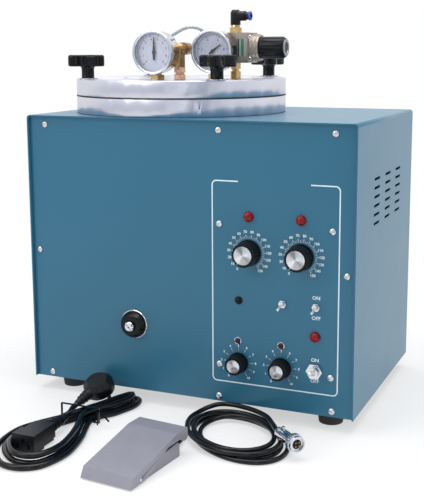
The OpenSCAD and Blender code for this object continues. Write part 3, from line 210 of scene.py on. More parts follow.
@dataclass(frozen=True)
class Finish:
    """A surface: what it is made of, and what its making left on it.

    Patches are wide and change the colour a little. Grain is fine and lifts the surface.
    """

    name: str
    colour: str
    roughness: float
    metallic: float = 0.0
    shade: float = 0.05
    patch_mm: float = 45.0
    grain_mm: float = 0.8
    grain_depth_mm: float = 0.02
    wander: float = 0.04
    anisotropic: float = 0.0
    alpha: float = 1.0
    transmission: float = 0.0
    ior: float = 1.5
    specular: float = 0.5

    def material(self) -> bpy.types.Material:
        """The finish as a material, made once."""
        found = bpy.data.materials.get(self.name)
        if found is not None:
            return found
        made = bpy.data.materials.new(self.name)
        tree = empty_tree(made)
        place = add_node(tree, "ShaderNodeTexCoord").outputs["Object"]
        shader = add_node(tree, "ShaderNodeBsdfPrincipled", self.sockets(tree, place))
        add_node(tree, "ShaderNodeOutputMaterial", {"Surface": shader.outputs[0]})
        made.diffuse_color = linear(self.colour)
        return made

    def sockets(self, tree: Tree, place: Socket) -> dict[str, Any]:
        """What the shader's sockets take.

        Args:
            tree: The material's tree.
            place: The point on the surface, in metres.

        Returns:
            Socket name to its value or link.
        """
        takes: dict[str, Any] = {
            "Base Color": self.tone(tree, place),
            "Roughness": self.gloss(tree, place),
            "Metallic": self.metallic,
            "Normal": self.relief(tree, place),
        }
        if self.metallic < 1:
            takes["IOR"] = self.ior
            takes["Specular IOR Level"] = self.specular
        if self.anisotropic:
            takes["Anisotropic"] = self.anisotropic
        if self.alpha < 1:
            takes["Alpha"] = self.alpha
        if self.transmission:
            takes["Transmission Weight"] = self.transmission
        return takes

    def noise(self, tree: Tree, place: Socket, size_mm: float, detail: float = 3.0) -> Socket:
        """Noise whose spots are a given size.

        Args:
            tree: The material's tree.
            place: The point that is read.
            size_mm: Width of a spot.
            detail: How many finer layers it has.

        Returns:
            The noise, from 0 to 1.
        """
        links = {"Vector": place, "Scale": 1 / (size_mm * MM), "Detail": detail}
        return add_node(tree, "ShaderNodeTexNoise", links).outputs["Fac"]

    def tone(self, tree: Tree, place: Socket) -> Socket:
        """The colour, a little lighter and darker in patches."""
        patches = self.noise(tree, place, self.patch_mm)
        ramp = add_node(tree, "ShaderNodeValToRGB", {"Fac": patches})
        low, high = ramp.color_ramp.elements
        low.position, high.position = 0.3, 0.7
        low.color = lighter(self.colour, -self.shade)
        high.color = lighter(self.colour, self.shade)
        return ramp.outputs["Color"]

    def gloss(self, tree: Tree, place: Socket) -> Socket:
        """The roughness, which wanders as handling and dust leave it."""
        spots = self.noise(tree, place, self.patch_mm * 0.3, 4.0)
        low, high = self.roughness - self.wander, self.roughness + self.wander
        return ranged(tree, spots, max(0.0, low), min(1.0, high))

    def height(self, tree: Tree, place: Socket) -> Socket:
        """The height of the grain, from 0 to 1."""
        return self.noise(tree, place, self.grain_mm)

    def relief(self, tree: Tree, place: Socket) -> Socket:
        """The surface's normal with its grain."""
        links = {
            "Height": self.height(tree, place),
            "Distance": self.grain_depth_mm * MM,
            "Strength": 1.0,
        }
        return add_node(tree, "ShaderNodeBump", links).outputs["Normal"]


@dataclass(frozen=True)
class TurnedMetal(Finish):
    """Metal cut on a lathe: fine rings about an axis, which smear a light into a band."""

    centre: Spot = (0.0, 0.0, 0.0)
    upright: bool = True
    ring_mm: float = 0.6
    # How far the painted bow-tie sheen darkens the colour; 0 paints none
    fan: float = 0.0

    def polar(self, tree: Tree, place: Socket) -> tuple[Socket, Socket, Socket]:
        """A point's distance from the axis, its height along it and its turn round it."""
        moved = vector_maths(tree, "SUBTRACT", place, tuple(c * MM for c in self.centre))
        parts = add_node(tree, "ShaderNodeSeparateXYZ", {0: moved}).outputs
        across, along = (parts[1], parts[2]) if self.upright else (parts[2], parts[1])
        flat = add_node(tree, "ShaderNodeCombineXYZ", {0: parts[0], 1: across}).outputs[0]
        radius = vector_maths(tree, "LENGTH", flat)
        return radius, along, maths(tree, "ARCTAN2", across, parts[0])

    def tone(self, tree: Tree, place: Socket) -> Socket:
        """The base colour, with light and dark fans painted in by the turn round the axis: a
        painted bow-tie sheen in place of the reflections on a spun face.
        """
        plain = super().tone(tree, place)
        if not self.fan:
            return plain
        # Painted sheen: the colour is made lighter and darker by the turn round the axis, as a spun
        # face's reflections would fall
        turn = self.polar(tree, place)[2]
        wide = maths(tree, "SINE", maths(tree, "MULTIPLY_ADD", turn, 2.0, 0.5))
        fine = maths(tree, "SINE", maths(tree, "MULTIPLY_ADD", turn, 5.0, 1.2))
        both = maths(tree, "MULTIPLY_ADD", fine, 0.45, wide)
        dark = ranged(tree, both, 1.0 - self.fan, 1.0, -1.3, 1.1)
        grey = add_node(tree, "ShaderNodeCombineXYZ", {0: dark, 1: dark, 2: dark}).outputs[0]
        return vector_maths(tree, "MULTIPLY", plain, grey)

    def height(self, tree: Tree, place: Socket) -> Socket:
        """The tool's rings: noise read along the radius and the axis, and hardly round it."""
        radius, along, turn = self.polar(tree, place)
        slow = maths(tree, "MULTIPLY", turn, self.ring_mm * MM)
        read = add_node(tree, "ShaderNodeCombineXYZ", {0: radius, 1: along, 2: slow})
        return self.noise(tree, read.outputs[0], self.ring_mm, 4.0)

    def sockets(self, tree: Tree, place: Socket) -> dict[str, Any]:
        """The shader's sockets, with the rings' direction added."""
        takes = super().sockets(tree, place)
        if self.anisotropic:
            axis = "Z" if self.upright else "Y"
            takes["Tangent"] = add_node(
                tree, "ShaderNodeTangent", direction_type="RADIAL", axis=axis
            ).outputs[0]
        return takes


@dataclass(frozen=True)
class BrushedMetal(Finish):
    """Metal brushed or rolled one way, which leaves long fine scratches."""

    stretch: Spot = (1.0, 1.0, 0.04)

    def height(self, tree: Tree, place: Socket) -> Socket:
        """Scratches: noise drawn out along one direction."""
        drawn = vector_maths(tree, "MULTIPLY", place, self.stretch)
        return self.noise(tree, drawn, self.grain_mm, 4.0)


@dataclass(frozen=True)
class CastPaint(Finish):
    """Enamel over a sand casting: the sand's pits show through the paint."""

    pit_mm: float = 1.1

    def height(self, tree: Tree, place: Socket) -> Socket:
        """Pits of the sand, over the paint's slow ripple."""
        links = {"Vector": place, "Scale": 1 / (self.pit_mm * MM)}
        cells = add_node(tree, "ShaderNodeTexVoronoi", links, feature="SMOOTH_F1")
        ripple = self.noise(tree, place, self.grain_mm)
        return maths(tree, "ADD", cells.outputs["Distance"], ripple)


# Powder coat on sheet steel, sprayed and baked: a satin skin with a faint orange peel
BLUE_COAT = Finish(
    "blue_powder_coat", "#2F6D8A", 0.3, shade=0.03, patch_mm=160, grain_mm=1.6,
    grain_depth_mm=0.01, wander=0.03, specular=0.4,
)
# Screen-printed ink: flat and a touch raised
WHITE_INK = Finish("white_screen_ink", "#E4F3FB", 0.55, grain_mm=0.6, grain_depth_mm=0.004)
BLACK_INK = Finish("black_dial_ink", "#23262E", 0.6, grain_mm=0.6, grain_depth_mm=0.004)
RED_INK = Finish("red_dial_ink", "#C04A52", 0.6, grain_mm=0.6, grain_depth_mm=0.004)
BLUE_INK = Finish("blue_dial_ink", "#5B73A8", 0.6, grain_mm=0.6, grain_depth_mm=0.004)
# Aluminium plate turned on a lathe: the cutter's rings draw lights out into bands
TURNED_ALUMINIUM = TurnedMetal(
    "turned_aluminium", "#D2D3DE", 0.3, 1.0, shade=0.03, patch_mm=70, wander=0.02,
    grain_depth_mm=0.0015, centre=(*POT_AXIS, 0.0), ring_mm=0.7, anisotropic=0.6,
)
# Aluminium pan spun and left bare inside
SPUN_ALUMINIUM = TurnedMetal(
    "spun_aluminium", "#C9CBCF", 0.32, 1.0, wander=0.06, grain_depth_mm=0.02,
    centre=(*POT_AXIS, 0.0), ring_mm=1.2,
)
# Chrome over nickel: a mirror, with only a slow ripple from the buffing
CHROME = Finish(
    "polished_chrome", "#D5D8DE", 0.07, 1.0, shade=0.02, patch_mm=30, grain_mm=6.0,
    grain_depth_mm=0.01, wander=0.03,
)
# Nickel-plated bats of the toggles: satin, so that they stay pale whatever stands round them
NICKEL_BAT = Finish(
    "satin_nickel", "#E3E3E1", 0.42, 0.55, shade=0.04, patch_mm=4, grain_mm=0.6,
    grain_depth_mm=0.006, wander=0.05,
)
# Zinc-plated steel screws: bright, with a faint bloom
ZINC = Finish(
    "zinc_plated_steel", "#D5D8DC", 0.24, 1.0, shade=0.08, patch_mm=4, grain_mm=0.5,
    grain_depth_mm=0.006, wander=0.08,
)
# Cold-rolled steel left bare, with the mill's lines
ROLLED_STEEL = BrushedMetal(
    "cold_rolled_steel", "#A9ACB0", 0.38, 1.0, grain_mm=0.5, grain_depth_mm=0.01,
    stretch=(0.03, 1.0, 1.0),
)
# Hard-drawn spring wire
SPRING_WIRE = Finish("spring_steel_wire", "#9DA0A4", 0.3, 1.0, grain_mm=0.5, grain_depth_mm=0.01)
# Free-cutting brass, turned and milled, a little dulled by handling
BRASS = Finish(
    "machined_brass", "#C4A878", 0.22, 1.0, shade=0.14, patch_mm=7, grain_mm=0.5,
    grain_depth_mm=0.012, wander=0.1,
)
# Forged brass elbow: the forging's skin is duller and grainier than a cut face
FORGED_BRASS = Finish(
    "forged_brass", "#A4845A", 0.3, 1.0, shade=0.16, patch_mm=6, grain_mm=0.9,
    grain_depth_mm=0.03, wander=0.1,
)
# Pinkish brass of the compression nut
PINK_BRASS = Finish(
    "rose_brass", "#D9AE93", 0.2, 1.0, shade=0.12, patch_mm=5, grain_mm=0.5,
    grain_depth_mm=0.01, wander=0.08,
)
# Die-cast aluminium under a champagne lacquer
CHAMPAGNE = Finish(
    "champagne_lacquer", "#A0958A", 0.34, 0.5, shade=0.05, patch_mm=12, grain_mm=0.7,
    grain_depth_mm=0.02, wander=0.06,
)
# Phenolic knobs, moulded in polished steel: nearly black with a hard gloss
BLACK_PHENOLIC = Finish(
    "black_phenolic", "#0A0C10", 0.12, shade=0.2, patch_mm=14, grain_mm=3.0,
    grain_depth_mm=0.01, wander=0.04, specular=0.22,
)
# ABS of the control knobs: moulded with a fine spark texture, so its gloss is softer
BLACK_ABS = Finish(
    "black_abs", "#0F1115", 0.3, shade=0.2, patch_mm=8, grain_mm=0.35,
    grain_depth_mm=0.008, wander=0.07, specular=0.22,
)
# Nylon plugs and fittings, moulded matt
BLACK_NYLON = Finish(
    "black_nylon", "#111318", 0.36, shade=0.2, patch_mm=9, grain_mm=0.5,
    grain_depth_mm=0.015, wander=0.08, specular=0.25,
)
# Vulcanised rubber feet and grommets: dull, with dust in the grain
BLACK_RUBBER = Finish(
    "black_rubber", "#151518", 0.62, shade=0.15, patch_mm=10, grain_mm=0.8,
    grain_depth_mm=0.03, wander=0.1, specular=0.25,
)
# Extruded PVC sheath: smooth and rather shiny along its length
BLACK_PVC = Finish(
    "black_pvc_sheath", "#0B0D12", 0.2, shade=0.2, patch_mm=14, grain_mm=2.5,
    grain_depth_mm=0.02, wander=0.06, specular=0.3,
)
# Blue acetal ring of the push-in fitting
BLUE_ACETAL = Finish("blue_acetal", "#2C49A8", 0.34, grain_mm=0.4, grain_depth_mm=0.006)
# Painted tin dial: bluish white and matt
DIAL_PAINT = Finish(
    "dial_enamel", "#D3D9EC", 0.5, shade=0.015, grain_mm=1.0, grain_depth_mm=0.003, specular=0.2,
)
# Black enamel of the needles, baked on brass strip
NEEDLE_PAINT = Finish(
    "needle_enamel", "#0B0D12", 0.4, grain_mm=0.6, grain_depth_mm=0.004, specular=0.2,
)
# Flat gauge glass: clear, seen by its glints
GAUGE_GLASS = Finish(
    "gauge_glass", "#F4F8FB", 0.03, shade=0.0, grain_mm=20, grain_depth_mm=0.002,
    wander=0.01, alpha=0.05, specular=0.3,
)
# Polyurethane tube: clear, with a soft bend in what is seen through it
CLEAR_TUBE = Finish(
    "clear_polyurethane", "#C6CCD2", 0.1, shade=0.0, grain_mm=8, grain_depth_mm=0.02,
    wander=0.02, transmission=0.92, ior=1.45,
)
# Red acrylic lens, moulded
RED_ACRYLIC = Finish(
    "red_acrylic", "#7E0107", 0.07, shade=0.5, patch_mm=3, grain_mm=2.6,
    grain_depth_mm=0.12, wander=0.04, specular=0.35,
)
DARK_LENS = Finish(
    "dark_red_lens", "#2A0E12", 0.12, shade=0.2, patch_mm=3, grain_mm=2.0,
    grain_depth_mm=0.02, wander=0.03, specular=0.35,
)
# Grey enamel over a cast pedal, slightly metallic
PEDAL_PAINT = CastPaint(
    "grey_pedal_enamel", "#8E8D99", 0.4, 0.15, shade=0.05, patch_mm=25, grain_mm=3.0,
    grain_depth_mm=0.03, wander=0.06, pit_mm=1.4,
)
# Black enamel over cast iron
PUMP_PAINT = CastPaint(
    "pump_enamel", "#3B3E43", 0.45, shade=0.1, patch_mm=20, grain_mm=2.5,
    grain_depth_mm=0.05, pit_mm=1.6,
)
# Glass-epoxy laminate with its green solder mask
BOARD_GREEN = Finish("green_solder_mask", "#1D5B3A", 0.35, shade=0.15, patch_mm=6, grain_mm=0.8)
# Moulded silicone
RED_SILICONE = Finish("red_silicone", "#A2452F", 0.55, grain_mm=1.0, grain_depth_mm=0.02)
# Mica band heater in its steel jacket
HEATER_JACKET = BrushedMetal(
    "heater_jacket", "#8A8479", 0.45, 0.8, grain_mm=0.8, grain_depth_mm=0.02,
    stretch=(1.0, 1.0, 0.05),
)
# Polyester label films
GREY_LABEL = Finish("grey_label_film", "#9AA3A3", 0.4, grain_mm=1.0, grain_depth_mm=0.004)
GREEN_LABEL = Finish("green_label_film", "#2F7D4F", 0.4, grain_mm=1.0, grain_depth_mm=0.004)
GREY_CAP = TurnedMetal("grey_knob_ring", "#8E9095", 0.3, 0.7, ring_mm=0.5, grain_depth_mm=0.01)


def spun_disc(name: str, centre: Spot) -> TurnedMetal:
    """Aluminium foil disc spun on a knob's face: rings so fine that light lies in a bow tie, and
    that bow tie is also painted into its colour as a painted sheen.

    Args:
        name: The finish's name.
        centre: The disc's middle.

    Returns:
        The finish.
    """
    return TurnedMetal(
        # painted sheen: fans of painted light and shade laid over the disc's colour
        name, "#E6E8EC", 0.26, 1.0, fan=0.62, shade=0.03, patch_mm=20, wander=0.03,
        grain_depth_mm=0.005, centre=centre, upright=False, ring_mm=0.3, anisotropic=0.95,
    )


# ---- Forms ----


class Way(Enum):
    """Which way a form's own +Z points in the part's frame."""

    UP = Matrix.Identity(4)
    FRONT = Matrix(((1, 0, 0, 0), (0, 0, -1, 0), (0, 1, 0, 0), (0, 0, 0, 1)))
    BACK = Matrix(((-1, 0, 0, 0), (0, 0, 1, 0), (0, 1, 0, 0), (0, 0, 0, 1)))
    RIGHT = Matrix(((0, 0, 1, 0), (1, 0, 0, 0), (0, 1, 0, 0), (0, 0, 0, 1)))


def seat(place: Point, way: Way = Way.UP, turn: float = 0.0) -> Matrix:
    """A place for a form: where it stands, which way it points, and its turn.

    Args:
        place: Where its origin goes, in millimetres.
        way: Which way its +Z points.
        turn: Turn about its own +Z in degrees.

    Returns:
        The matrix.
    """
    spin = Matrix.Rotation(math.radians(turn), 4, "Z")
    return Matrix.Translation(Vector(place)) @ way.value @ spin


def aimed(place: Point, way: Point) -> Matrix:
    """A place whose +Z points along any direction.

    Args:
        place: Where its origin goes, in millimetres.
        way: The direction.

    Returns:
        The matrix.
    """
    turned = Vector(way).to_track_quat("Z", "Y").to_matrix().to_4x4()
    return Matrix.Translation(Vector(place)) @ turned


def smooth_route(points: Sequence[Point], step: float) -> list[Vector]:
    """A smooth line through points, cut to even steps.

    Args:
        points: What it passes through, in millimetres.
        step: Length of a step.

    Returns:
        Points along it, the ends kept.
    """
    marks = [Vector(p) for p in points]
    fine: list[Vector] = []
    last = len(marks) - 1
    for i in range(last):
        a, b = marks[max(i - 1, 0)], marks[i]
        c, d = marks[i + 1], marks[min(i + 2, last)]
        gap = (c - b).length
        before = (b - a).length or gap
        after = (d - c).length or gap
        lead = ((b - a) / before + (c - b) / gap) / 2 if i else (c - b) / gap
        trail = ((c - b) / gap + (d - c) / after) / 2 if i < last - 1 else (c - b) / gap
        for k in range(8):
            u = k / 8
            fine.append(
                b * (2 * u**3 - 3 * u**2 + 1)
                + lead * gap * (u**3 - 2 * u**2 + u)
                + c * (3 * u**2 - 2 * u**3)
                + trail * gap * (u**3 - u**2)
            )
    fine.append(marks[-1])
    total = sum((q - p).length for p, q in zip(fine, fine[1:]))
    count = max(2, round(total / step))
    even, walked, want = [fine[0]], 0.0, total / count
    for p, q in zip(fine, fine[1:]):
        leg = (q - p).length
        while walked + leg >= want - 1e-9 and len(even) < count:
            even.append(p.lerp(q, (want - walked) / leg if leg else 0.0))
            want += total / count
        walked += leg
    even.append(fine[-1])
    return even


def spoke(turn: float, near: float, far: float, half: float) -> list[Flat]:
    """The corners of a line that runs outward.

    Args:
        turn: Its direction, clockwise from straight up, in radians.
        near: Distance of its inner end from the middle.
        far: Distance of its outer end.
        half: Half its width.

    Returns:
        The four corners.
    """
    out, side = (math.sin(turn), math.cos(turn)), (math.cos(turn), -math.sin(turn))
    return [
        (out[0] * r + side[0] * w, out[1] * r + side[1] * w)
        for r, w in ((near, -half), (near, half), (far, half), (far, -half))
    ]


@dataclass
class Form:
    """A mesh as it is built up, in millimetres of the part's frame."""

    points: list[Vector] = field(default_factory=list)
    faces: list[tuple[int, ...]] = field(default_factory=list)

    def add(
        self, points: Iterable[Point], faces: Iterable[Sequence[int]], place: Matrix = Way.UP.value
    ) -> Form:
        """Add points and faces.

        Args:
            points: The points, in the piece's own frame.
            faces: Point numbers of each face.
            place: Where the piece goes.

        Returns:
            The form.
        """
        first = len(self.points)
        self.points += [place @ Vector(p) for p in points]
        self.faces += [tuple(first + i for i in f) for f in faces]
        return self

    def turned(
        self,
        profile: Sequence[Flat],
        place: Matrix = Way.UP.value,
        steps: int = 64,
        hollow: bool = False,
    ) -> Form:
        """Turn a profile about +Z.

        Args:
            profile: Radius and height of each corner.
            place: Where it goes.
            steps: Steps round the axis.
            hollow: Whether the profile closes on itself, as a ring's does.

        Returns:
            The form.
        """
        points: list[Point] = []
        rows: list[list[int]] = []
        for radius, height in profile:
            if radius < 1e-6:
                rows.append([len(points)] * steps)
                points.append((0.0, 0.0, height))
                continue
            rows.append(list(range(len(points), len(points) + steps)))
            for k in range(steps):
                a = 2 * math.pi * k / steps
                points.append((radius * math.cos(a), radius * math.sin(a), height))
        faces: list[Sequence[int]] = []
        pairs = list(zip(rows, rows[1:]))
        if hollow:
            pairs.append((rows[-1], rows[0]))
        for low, high in pairs:
            for k in range(steps):
                j = (k + 1) % steps
                corners = (low[k], low[j], high[j], high[k])
                face = tuple(dict.fromkeys(corners))
                if len(face) > 2:
                    faces.append(face)
        if not hollow:
            if profile[0][0] > 1e-6:
                faces.append(rows[0][::-1])
            if profile[-1][0] > 1e-6:
                faces.append(rows[-1])
        return self.add(points, faces, place)

    def loft(self, rows: Sequence[Sequence[Point]], place: Matrix = Way.UP.value) -> Form:
        """Skin closed rows of as many points each, and close both ends.

        Args:
            rows: The rows, from first to last.
            place: Where it goes.

        Returns:
            The form.
        """
        count = len(rows[0])
        faces: list[Sequence[int]] = [list(range(count))[::-1]]
        for r in range(len(rows) - 1):
            for k in range(count):
                j = (k + 1) % count
                a = r * count
                faces.append((a + k, a + j, a + count + j, a + count + k))
        faces.append([(len(rows) - 1) * count + k for k in range(count)])
        return self.add([p for row in rows for p in row], faces, place)

    def prism(
        self, outline: Sequence[Flat], low: float, high: float, place: Matrix = Way.UP.value
    ) -> Form:
        """Raise a flat outline.

        Args:
            outline: Its corners, anticlockwise.
            low: Height of its foot.
            high: Height of its top.
            place: Where it goes.

        Returns:
            The form.
        """
        return self.loft([[(x, y, z) for x, y in outline] for z in (low, high)], place)

    def ink(self, outline: Sequence[Flat], place: Matrix) -> Form:
        """Print a flat outline on a surface."""
        return self.prism(outline, INK_FOOT, INK_TOP, place)

    def block(self, low: Point, high: Point, place: Matrix = Way.UP.value) -> Form:
        """A block between two corners."""
        corners = [(low[0], low[1]), (high[0], low[1]), (high[0], high[1]), (low[0], high[1])]
        return self.prism(corners, low[2], high[2], place)

    def tube(
        self, route: Sequence[Point], radius: float, sides: int = 12, bore: float = 0.0
    ) -> Form:
        """Sweep a round tube along a route.

        Args:
            route: Points along its middle.
            radius: Its outer radius.
            sides: Sides of its section.
            bore: Radius of its bore, if it is hollow.

        Returns:
            The form.
        """
        line = [Vector(p) for p in route]
        ways = [
            (line[min(i + 1, len(line) - 1)] - line[max(i - 1, 0)]).normalized()
            for i in range(len(line))
        ]
        up = Vector((1, 0, 0)) if abs(ways[0].z) > 0.9 else Vector((0, 0, 1))
        sections: list[tuple[Vector, Vector, Vector]] = []
        for p, way in zip(line, ways):
            up = (up - way * up.dot(way)).normalized()
            sections.append((p, up.copy(), way.cross(up)))

        def row(reach: float, at: int) -> list[Vector]:
            p, u, v = sections[at]
            turns = [2 * math.pi * k / sides for k in range(sides)]
            return [p + reach * (math.cos(a) * u + math.sin(a) * v) for a in turns]

        outer = [row(radius, i) for i in range(len(line))]
        if not bore:
            return self.loft(outer)
        inner = [row(bore, i) for i in reversed(range(len(line)))]
        rows = [*outer, *inner, outer[0]]
        faces = [
            (r * sides + k, r * sides + (k + 1) % sides, (r + 1) * sides + (k + 1) % sides,
             (r + 1) * sides + k)
            for r in range(len(rows) - 1)
            for k in range(sides)
        ]
        return self.add([p for r in rows for p in r], faces)

    def words(self, text: str, size: float, place: Matrix, bold: float = 0.0) -> Form:
        """Print a number or a short word, raised by the ink's own thickness.

        Args:
            text: What it says.
            size: Height of its letters.
            place: Its middle, with +Z out of the surface.
            bold: How far the strokes are widened.

        Returns:
            The form.
        """
        curve = bpy.data.curves.new("words", "FONT")
        curve.body, curve.size = text, size * FONT_SIZE
        curve.align_x, curve.align_y = "CENTER", "CENTER"
        curve.resolution_u, curve.offset, curve.extrude = 2, bold, WORD_LIFT
        made = bpy.data.objects.new("words", curve)
        mesh = bpy.data.meshes.new_from_object(made)
        self.add([v.co for v in mesh.vertices], [p.vertices for p in mesh.polygons], place)
        bpy.data.objects.remove(made)
        bpy.data.curves.remove(curve)
        bpy.data.meshes.remove(mesh)
        return self

    def piece(
        self,
        name: str,
        finish: Finish,
        body: str,
        slot: Slot,
        bevel: float = 0.0,
        crease: float = 35.0,
    ) -> bpy.types.Object:
        """Make the form a piece that rides on a body.

        Args:
            name: The piece's name.
            finish: What it is made of.
            body: The body that it moves with.
            slot: The record's material slot; it is not used.
            bevel: Width of its rounded edges, in millimetres.
            crease: Angle in degrees above which an edge stays sharp.

        Returns:
            The piece.
        """
        mesh = bpy.data.meshes.new(name)
        mesh.from_pydata([p * MM for p in self.points], [], self.faces)
        work = bmesh.new()
        work.from_mesh(mesh)
        bmesh.ops.remove_doubles(work, verts=work.verts, dist=1e-6)
        bmesh.ops.recalc_face_normals(work, faces=work.faces)
        if bevel:
            edges = [
                e for e in work.edges
                if e.is_manifold and e.calc_face_angle(0) > math.radians(crease)
            ]
            bmesh.ops.bevel(
                work, geom=edges, offset=bevel * MM, segments=2, profile=0.6,
                affect="EDGES", clamp_overlap=True,
            )
        work.to_mesh(mesh)
        work.free()
        for face in mesh.polygons:
            face.use_smooth = True
        mesh.set_sharp_from_angle(angle=math.radians(crease))
        made = placed(name, mesh)
        mesh.materials.append(finish.material())
        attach(made, body)
        LOG.info("%s: %d faces, on %s", name, len(mesh.polygons), body)
        return made


@dataclass
class Dressing:
    """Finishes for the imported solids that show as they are."""

    nodes: dict[str, bpy.types.Object]

    def dress(self, node: str, finish: Finish, bevel: float = 0.3) -> bpy.types.Object:
        """Give a solid its finish, and the small rounding that its edges really have.

        Args:
            node: The solid's name.
            finish: Its finish.
            bevel: Width of the rounding in millimetres, or 0 for none.

        Returns:
            The solid's object.
        """
        solid = self.nodes[node]
        solid.data.materials.clear()
        solid.data.materials.append(finish.material())
        if bevel:
            weld = solid.modifiers.new("weld", "WELD")
            weld.merge_threshold = 1e-6
            rounding = solid.modifiers.new("rounding", "BEVEL")
            rounding.width = bevel * MM
            rounding.segments = 2
            rounding.limit_method = "ANGLE"
            rounding.angle_limit = math.radians(32)
            rounding.use_clamp_overlap = True
            rounding.miter_outer = "MITER_ARC"
            rounding.harden_normals = True
        LOG.info("%s: dressed in %s", node, finish.name)
        return solid


# ---- Cabinet ----


@dataclass
class Cabinet:
    """The folded cabinet, its screwed panels and what is bolted inside it."""

    dressing: Dressing

    def build(self) -> None:
        """Dress the sheet metal, the feet, the screws and the works."""
        dress = self.dressing.dress
        for panel in ("cabinet_shell", "front_panel", "back_panel"):
            dress(panel, BLUE_COAT, 0.5)
        dress("base_plate", ROLLED_STEEL, 0.3)
        dress("rubber_feet", BLACK_RUBBER, 1.0)
        dress("panel_screws", ZINC, 0.15)
        dress("control_board", BOARD_GREEN, 0.1)
        dress("solenoid_valve", PUMP_PAINT, 0.6)
        dress("vacuum_pump", PUMP_PAINT, 1.0)
        dress("heater_band", HEATER_JACKET, 0.2)
        dress("valve_block", BRASS, 0.5)


@dataclass
class RearConnections:
    """The mains inlet, the pedal's socket and the vacuum barb on the back."""

    dressing: Dressing
    inlet: Spot = (-130.0, REAR_FACE, 77.0)
    socket: Spot = (-60.0, REAR_FACE, 72.0)
    pin_reach: float = 12.0

    def build(self) -> None:
        """Dress the connections and set their pins."""
        self.dressing.dress("mains_inlet", BLACK_NYLON, 0.5)
        self.dressing.dress("rear_ports", CHROME, 0.3)
        blades = Form()
        x, y, z = self.inlet
        for across, up in ((-7.0, -14.0), (7.0, -14.0), (0.0, -9.0)):
            place = seat((x + across, y - 14, z + up), Way.BACK)
            blades.block((-1, -2, 0), (1, 2, self.pin_reach), place)
        blades.piece("inlet_blades", CHROME, "cabinet", Slot.CHROME, bevel=0.3)
        pins = Form()
        for corner in range(4):
            turn = math.radians(45 + 90 * corner)
            x, y, z = self.socket
            across, up = PIN_CIRCLE * math.cos(turn), PIN_CIRCLE * math.sin(turn)
            place = seat((x + across, y - 2, z + up), Way.BACK)
            pins.turned([(0.8, 0), (0.8, 6.4), (0.4, 7)], place, 16)
        pins.piece("socket_pins", BRASS, "cabinet", Slot.BRASS)
        x, y, z = self.inlet
        place = seat((x, y + 2.2, z + 11), Way.BACK)
        drawer = Form().block((-8.6, -5.6, 0), (8.6, 5.6, 0.8), place)
        drawer.piece("inlet_fuse_drawer", BLACK_ABS, "cabinet", Slot.PLASTIC, bevel=0.3)


# ---- Control panel ----


class Bulb(Enum):
    """The kinds of lamp on the panel."""

    RED_DOME = "red_dome"
    BLACK_DOME = "black_dome"
    RINGED = "ringed"


@dataclass
class Scale:
    """The scale printed round one knob."""

    x: float
    z: float
    rim: float
    minor: int
    major: int
    top: int
    minor_l: float
    major_l: float
    number_gap: float
    number_size: float
    sweep: float = 290.0

    def angle(self, share: float) -> float:
        """The turn from straight up, clockwise, at a share of the scale, in radians."""
        return math.radians((share - 0.5) * self.sweep)

    def tick(self, form: Form, place: Matrix, share: float, length: float, width: float) -> None:
        """Print one line of the scale."""
        corners = spoke(self.angle(share), self.rim, self.rim + length, width / 2)
        form.ink(corners, place)

    def build(self, form: Form, face: float) -> None:
        """Print the lines and the numbers.

        Args:
            form: What they are added to.
            face: The panel's face.
        """
        place = seat((self.x, face, self.z), Way.FRONT)
        for i in range(self.minor + 1):
            self.tick(form, place, i / self.minor, self.minor_l, 0.45)
        for i in range(self.major + 1):
            share = i / self.major
            self.tick(form, place, share, self.major_l, 0.7)
            turn, reach = self.angle(share), self.rim + self.major_l + self.number_gap
            at = Vector((reach * math.sin(turn), reach * math.cos(turn), WORD_LIFT))
            number = str(round(self.top * share))
            form.words(number, self.number_size, place @ Matrix.Translation(at), 0.11)


